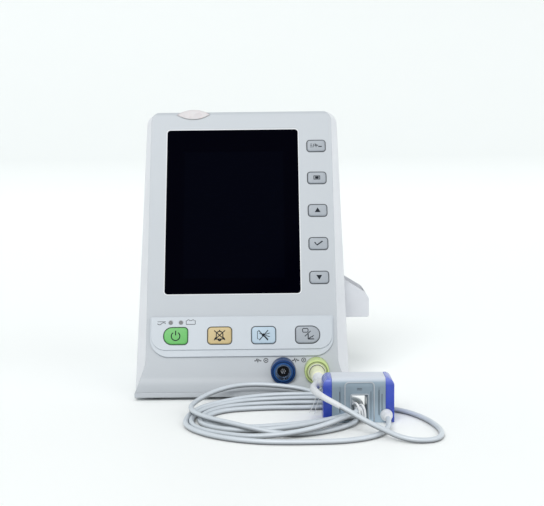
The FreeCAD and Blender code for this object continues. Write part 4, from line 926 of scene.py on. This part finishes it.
class MONITOR_OT_sensor(bpy.types.Operator):
    """Build the sensor block with softened edges, its blue caps, arches and strain relief"""
    bl_idname = "monitor.make_sensor"
    bl_label = "Gas sensor"

    def execute(self, context):
        colours = context.scene.monitor_colours
        softened("sensor_block", "sensor_body", 0.5, self.grey(colours.sensor), "sensor_grey")
        blue = self.blue(colours.cap)
        for side in ("left", "right"):
            softened("sensor_end_" + side, "sensor_cap_" + side, 0.8, blue, "sensor_blue")
        self.saddle(moulded("Saddle edge", (0.44, 0.48, 0.52), rough=0.35))
        self.lines(moulded("Groove shade", (0.06, 0.075, 0.09), rough=0.6, tone=0.2))
        self.relief(rubber("Relief rubber", (0.82, 0.84, 0.87), 0.45))
        sapphire = moulded("Sapphire window", (0.10, 0.13, 0.22), rough=0.1, Coat_Weight=0.8)
        paint(sapphire, "sensor_windows")
        return {"FINISHED"}

    def saddle(self, material):
        """Raised beads round the arch and the slot, front and back: an oval profile along each outline."""
        x0, x1, top, radius = 79.5, 101.3, 31.0, 3.0
        outline = np.concatenate([
            line(x0, 1.0, x0, top - radius - 1, 5), arc(x0 + radius, top - radius, radius, 180, 90, 9),
            arc(x1 - radius, top - radius, radius, 90, 0, 9), line(x1, top - radius - 1, x1, 1.0, 5)])
        slot = np.concatenate([
            line(83.7, 1.0, 83.7, 20.0, 5), arc(84.9, 20.7, 1.2, 180, 90, 5),
            arc(95.9, 20.7, 1.2, 90, 0, 5), line(97.1, 20.0, 97.1, 1.0, 5)])
        parts = []
        for y in (SENSOR_FRONT_Y, SENSOR_BACK_Y):
            for path, width in ((outline, 0.5), (slot, 0.35)):
                points = np.column_stack([path[:, 0], np.full(len(path), y), path[:, 1]])
                parts.append(swept(points, width, 0.75))
        joined_piece("sensor_saddle", parts, material, "sensor_grey", "sensor_arches")

    def lines(self, material):
        """Four thin dark lines up the sensor's front and two short marks over the slot."""
        upright = ((75.6, 8, 24), (98.9, 3, 24), (105.0, 6, 25), (107.2, 9, 22))
        ends = [((x, low), (x, high)) for x, low, high in upright]
        ends += [((88.6, z), (92.2, z)) for z in (25.3, 26.4)]
        parts = []
        for (x0, z0), (x1, z1) in ends:
            path = [(x, SENSOR_FRONT_Y, z) for x, z in ((x0, z0), ((x0 + x1) / 2, (z0 + z1) / 2), (x1, z1))]
            parts.append(swept(path, 0.22, 0.10))
        joined_piece("sensor_lines", parts, material, "sensor_grey")

    def grey(self, base):
        """Grey plastic, paler at the foot, with painted light towards the top and on the top itself."""
        r = Recipe("Sensor plastic")
        z = r.axes()[2]
        fine = r.noise(2600.0)
        tinted = r.mix(z.step(2 * MM, 16 * MM), shade(base, 1.75), base)
        # Painted light: paler towards the top and pale on the top face, as lit from above.
        tinted = r.mix(z.step(27 * MM, 4 * MM), tinted, shade(base, 1.3))
        tinted = r.mix(z.step(30.8 * MM, 3.2 * MM), tinted, (0.65, 0.69, 0.75))
        return r.finish(tinted, fine * 0.12 + 0.4, r.bump(fine, 0.012 * MM, 0.6))

    def blue(self, colour):
        """Cloudy blue plastic, with a painted highlight towards the top."""
        r = Recipe("Blue caps")
        z = r.axes()[2]
        cloud = r.noise(120.0, 2.0)
        tinted = r.mix(cloud.step(0.3, 0.4), shade(colour, 0.85), colour)
        # Painted highlight: the caps turn paler towards the top.
        tinted = r.mix(z.step(28.5 * MM, 5 * MM) * 0.5, tinted, (0.30, 0.36, 0.80))
        return r.finish(tinted, cloud * 0.08 + 0.22, Coat_Weight=0.2)

    def relief(self, material):
        """A dome that narrows round the lead where it enters the sensor."""
        profile = [(0.01, 0.0), (4.6, 0.0), (4.6, -1.2), (4.5, -2.2), (4.1, -3.4), (3.7, -5.0), (3.3, -7.0),
                   (2.9, -9.0), (2.5, -10.0), (2.05, -10.0)]
        rings = lathe(profile, (RELIEF_X, SENSOR_FRONT_Y, RELIEF_Z), (0, 1, 0))
        ringed_piece("sensor_relief_dome", rings, material, "boot_white", "sensor_relief")


# ---- lead --------------------------------------------------------------------

def lead_points():
    """The whole lead: free run, first turn, the fanned turns with their slot passes, then the tail."""
    points = list(LEAD_ROUTE) + list(FIRST_TURN)
    for turn, (slot_x, slot_z) in enumerate(SLOT_PASSES):
        points += [(slot_x, y, slot_z) for y in SLOT_Y]
        last = turn == len(SLOT_PASSES) - 1
        stations = STATIONS[:-2] if last else STATIONS
        next_z = RESTING_Z if last else SLOT_PASSES[turn + 1][1]
        climb_start = len(STATIONS) - CLIMB_STATIONS
        for k, (x, y, fan_x, fan_y, rise) in enumerate(stations):
            # A small wander in y, different on each turn, keeps the strands from lying alike
            wander = 0.6 * math.sin(2.1 * k + 1.7 * turn)
            leaving = max(0.0, (slot_z - RESTING_Z) * (1 - (k + 1) / SINK_STATIONS))
            climb = (next_z - RESTING_Z) * max(0.0, (k - climb_start) / CLIMB_STATIONS)
            height = RESTING_Z + max(leaving, rise * turn, climb)
            spread = (SPREAD_BACK if y > BEHIND_Y else SPREAD_FRONT)[turn]
            points.append((x + fan_x * spread, y + fan_y * spread + wander, height))
    return points + list(TAIL_ROUTE)


class MONITOR_OT_lead(bpy.types.Operator):
    """Lay the sensor's lead as one smooth spline, coiled on the table, and its two ties"""
    bl_idname = "monitor.make_lead"
    bl_label = "Lead"

    def execute(self, context):
        colours, sizes = context.scene.monitor_colours, context.scene.monitor_sizes
        points = lead_points()
        curve = bpy.data.curves.new("sensor_lead_line", "CURVE")
        curve.dimensions = "3D"
        spline = curve.splines.new("NURBS")
        spline.points.add(len(points) - 1)
        flat = np.ones((len(points), 4))
        flat[:, :3] = np.array(points) * MM
        spline.points.foreach_set("co", flat.ravel())
        spline.order_u = 3
        spline.use_endpoint_u = True
        spline.resolution_u = 8
        curve.bevel_depth = sizes.lead_diameter / 2
        curve.bevel_resolution = 5
        curve.use_fill_caps = True
        lead = new_object("sensor_lead_line", curve, self.jacket(colours.lead))
        settle(lead, "lead_white", "sensor_lead", "lead_coil", "lead_tail")
        self.sleeve(curve, bpy.data.materials["Boot rubber"])
        self.ties(moulded("Clear tie", (0.80, 0.82, 0.84), rough=0.15, edge=0.2, Coat_Weight=0.8))
        on_it = [bpy.data.objects[name] for name in (
            "plug_shell", "plug_boot_ribbed", "boot_sleeve", "gas_shade_ring", "sensor_block", "sensor_end_left",
            "sensor_end_right", "sensor_saddle", "sensor_lines", "sensor_relief_dome", "tie_strands")]
        on_it.append(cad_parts["sensor_windows"])
        return {"FINISHED"}

    def sleeve(self, curve, material):
        """The boot's thin end, carried along the lead's own line: its radius falls in a half cosine."""
        bare = curve.copy()
        bare.bevel_depth = 0.0
        guide = bpy.data.objects.new("guide", bare)
        bpy.context.scene.collection.objects.link(guide)
        drawn = bpy.data.meshes.new_from_object(guide)
        path = np.empty(len(drawn.vertices) * 3)
        drawn.vertices.foreach_get("co", path)
        bpy.data.objects.remove(guide)
        path = path.reshape(-1, 3)[:SLEEVE_POINTS] / MM
        along = np.linspace(0.0, 1.0, len(path))
        radius = SLEEVE_THIN + SLEEVE_GAIN * (0.5 + 0.5 * np.cos(math.pi * along))
        middle = path[:, None, :] * MM
        rings = swept(path, 1.0, 1.0, 16, across=(0.0, 0.0, 1.0))
        rings = middle + (rings - middle) * radius[:, None, None]
        ringed_piece("boot_sleeve", rings, material, "boot_white")

    def ties(self, material):
        """Thin strands over the bundle behind the sensor and three wider curls in its slot.

        Each runs on a smooth curve through four points: (1-t)^3 a + 3(1-t)^2 t b + 3(1-t) t^2 c + t^3 d.
        """
        fine = (((66, -84, 13), (60, -93, 14), (60, -104, 7), (54, -113, 0.5)),
                ((68, -86, 12), (65, -96, 13), (60, -108, 8), (58, -116, 0.5)),
                ((66, -84, 12.6), (66, -80, 8), (64, -80, 4), (62, -82, 0.5)))
        curls = (((86.6, -143, 8), (87.6, -151, 17), (92.4, -151, 15), (92.6, -146, 4)),
                 ((89.6, -143, 13), (91.6, -150, 19), (95.2, -150, 12), (93.8, -147, 2)),
                 ((85.4, -142, 14), (86.6, -148, 20), (90.8, -152, 15), (89.8, -148, 5)))
        parts = [swept(bezier(*points), 0.28, 0.28) for points in fine]
        parts += [swept(bezier(*points), 0.85, 0.45) for points in curls]
        joined_piece("tie_strands", parts, material, "tie_clear", "lead_ties")

    def length(self, points):
        """Length of the control line, less the part that the smooth spline cuts off at its corners."""
        steps = np.diff(np.array(points) * MM, axis=0)
        return float(np.linalg.norm(steps, axis=1).sum() * LINE_SHARE)

    def jacket(self, colour):
        """Glossy jacket, darker on faces that look down, where the strands shade each other."""
        r = Recipe("Lead jacket")
        slow = r.noise(70.0, 3.0)
        fine = r.noise(1500.0)
        upward = r.facing()[2]
        pale = r.mix(slow.step(0.3, 0.4), shade(colour, 0.95), colour)
        tinted = r.mix(upward.step(-0.75, 1.15), shade(colour, 0.16), pale)
        normal = r.bump(fine, 0.01 * MM, 0.4)
        return r.finish(tinted, fine * 0.1 + 0.26, normal, Coat_Weight=0.25, Coat_Roughness=0.3)


# ---- stage -------------------------------------------------------------------

class MONITOR_OT_stage(bpy.types.Operator):
    """Set the pale floor, soft lights and camera"""
    bl_idname = "monitor.make_stage"
    bl_label = "Stage"

    def execute(self, context):
        scene = context.scene
        self.sweep()
        self.world(scene)
        self.sun("Key light", (0.22, 0.62, -0.76), 1.5, 36.0)
        self.sun("Side light", (-0.80, 0.45, -0.42), 0.60, 50.0)
        self.camera(scene)
        scene.view_settings.view_transform = "Standard"
        return {"FINISHED"}

    def sweep(self):
        """Floor and wall in one sheet: flat, then a quarter turn of radius r, then straight up."""
        radius, wall_y, half = 1.2, 2.6, 6.0
        turn = np.linspace(0, math.pi / 2, 13)
        y = np.concatenate([[-half], wall_y - radius + radius * np.sin(turn), [wall_y]])
        z = np.concatenate([[0.0], radius * (1 - np.cos(turn)), [half]])
        x = np.array([-half, half])
        points = np.stack(np.broadcast_arrays(x, y[:, None], z[:, None]), axis=-1)
        mesh = mesh_from("floor", points, grid_faces(len(y), 2, closed=False).tolist())
        r = Recipe("Pale floor")
        slow = r.noise(0.6)
        tinted = r.mix(slow, (0.94, 0.96, 0.955), (0.95, 0.97, 0.965))
        tinted = r.mix(r.axes()[2].step(0.01, 0.15), tinted, (0.77, 0.80, 0.795))
        new_object("floor", mesh, r.finish(tinted, slow * 0.1 + 0.5))

    def world(self, scene):
        world = bpy.data.worlds.new("Studio")
        world.use_nodes = True
        background = world.node_tree.nodes["Background"]
        background.inputs["Color"].default_value = (0.97, 0.99, 1.0, 1.0)
        background.inputs["Strength"].default_value = 0.54
        scene.world = world

    def sun(self, name, towards, strength, spread):
        data = bpy.data.lights.new(name, "SUN")
        data.energy, data.angle = strength, math.radians(spread)
        made = bpy.data.objects.new(name, data)
        made.rotation_euler = Vector(towards).to_track_quat("-Z", "Y").to_euler()
        bpy.context.scene.collection.objects.link(made)

    def camera(self, scene):
        data = bpy.data.cameras.new("Camera")
        data.lens, data.sensor_width = CAMERA_LENS, 36.0
        made = bpy.data.objects.new("Camera", data)
        tilt = Matrix.Rotation(math.radians(90 - CAMERA_DIP), 4, "X")
        roll = Matrix.Rotation(math.radians(CAMERA_ROLL), 4, "Z")
        made.matrix_world = Matrix.Translation(Vector(CAMERA_PLACE) * MM) @ tilt @ roll
        scene.collection.objects.link(made)
        scene.camera = made


class MONITOR_PT_panel(bpy.types.Panel):
    """Lists the monitor's builders in the sidebar"""
    bl_label = "Bedside Monitor"
    bl_idname = "MONITOR_PT_panel"
    bl_space_type = "VIEW_3D"
    bl_region_type = "UI"
    bl_category = "Monitor"

    def draw(self, context):
        for builder in BUILDERS:
            self.layout.operator(builder.bl_idname)
        for group in (context.scene.monitor_colours, context.scene.monitor_sizes):
            for name in group.__annotations__:
                self.layout.prop(group, name)


BUILDERS = (MONITOR_OT_stage, MONITOR_OT_housing, MONITOR_OT_screen, MONITOR_OT_keys, MONITOR_OT_labels,
            MONITOR_OT_sockets, MONITOR_OT_sensor, MONITOR_OT_lead)
CLASSES = (MonitorColours, MonitorSizes, *BUILDERS, MONITOR_PT_panel)


def register():
    for cls in CLASSES:
        bpy.utils.register_class(cls)
    bpy.types.Scene.monitor_colours = bpy.props.PointerProperty(type=MonitorColours)
    bpy.types.Scene.monitor_sizes = bpy.props.PointerProperty(type=MonitorSizes)


def unregister():
    del bpy.types.Scene.monitor_sizes
    del bpy.types.Scene.monitor_colours
    for cls in reversed(CLASSES):
        bpy.utils.unregister_class(cls)


def main():
    register()
    for builder in BUILDERS:
        group, name = builder.bl_idname.split(".")
        getattr(getattr(bpy.ops, group), name)()


if __name__ == "__main__":
    main()
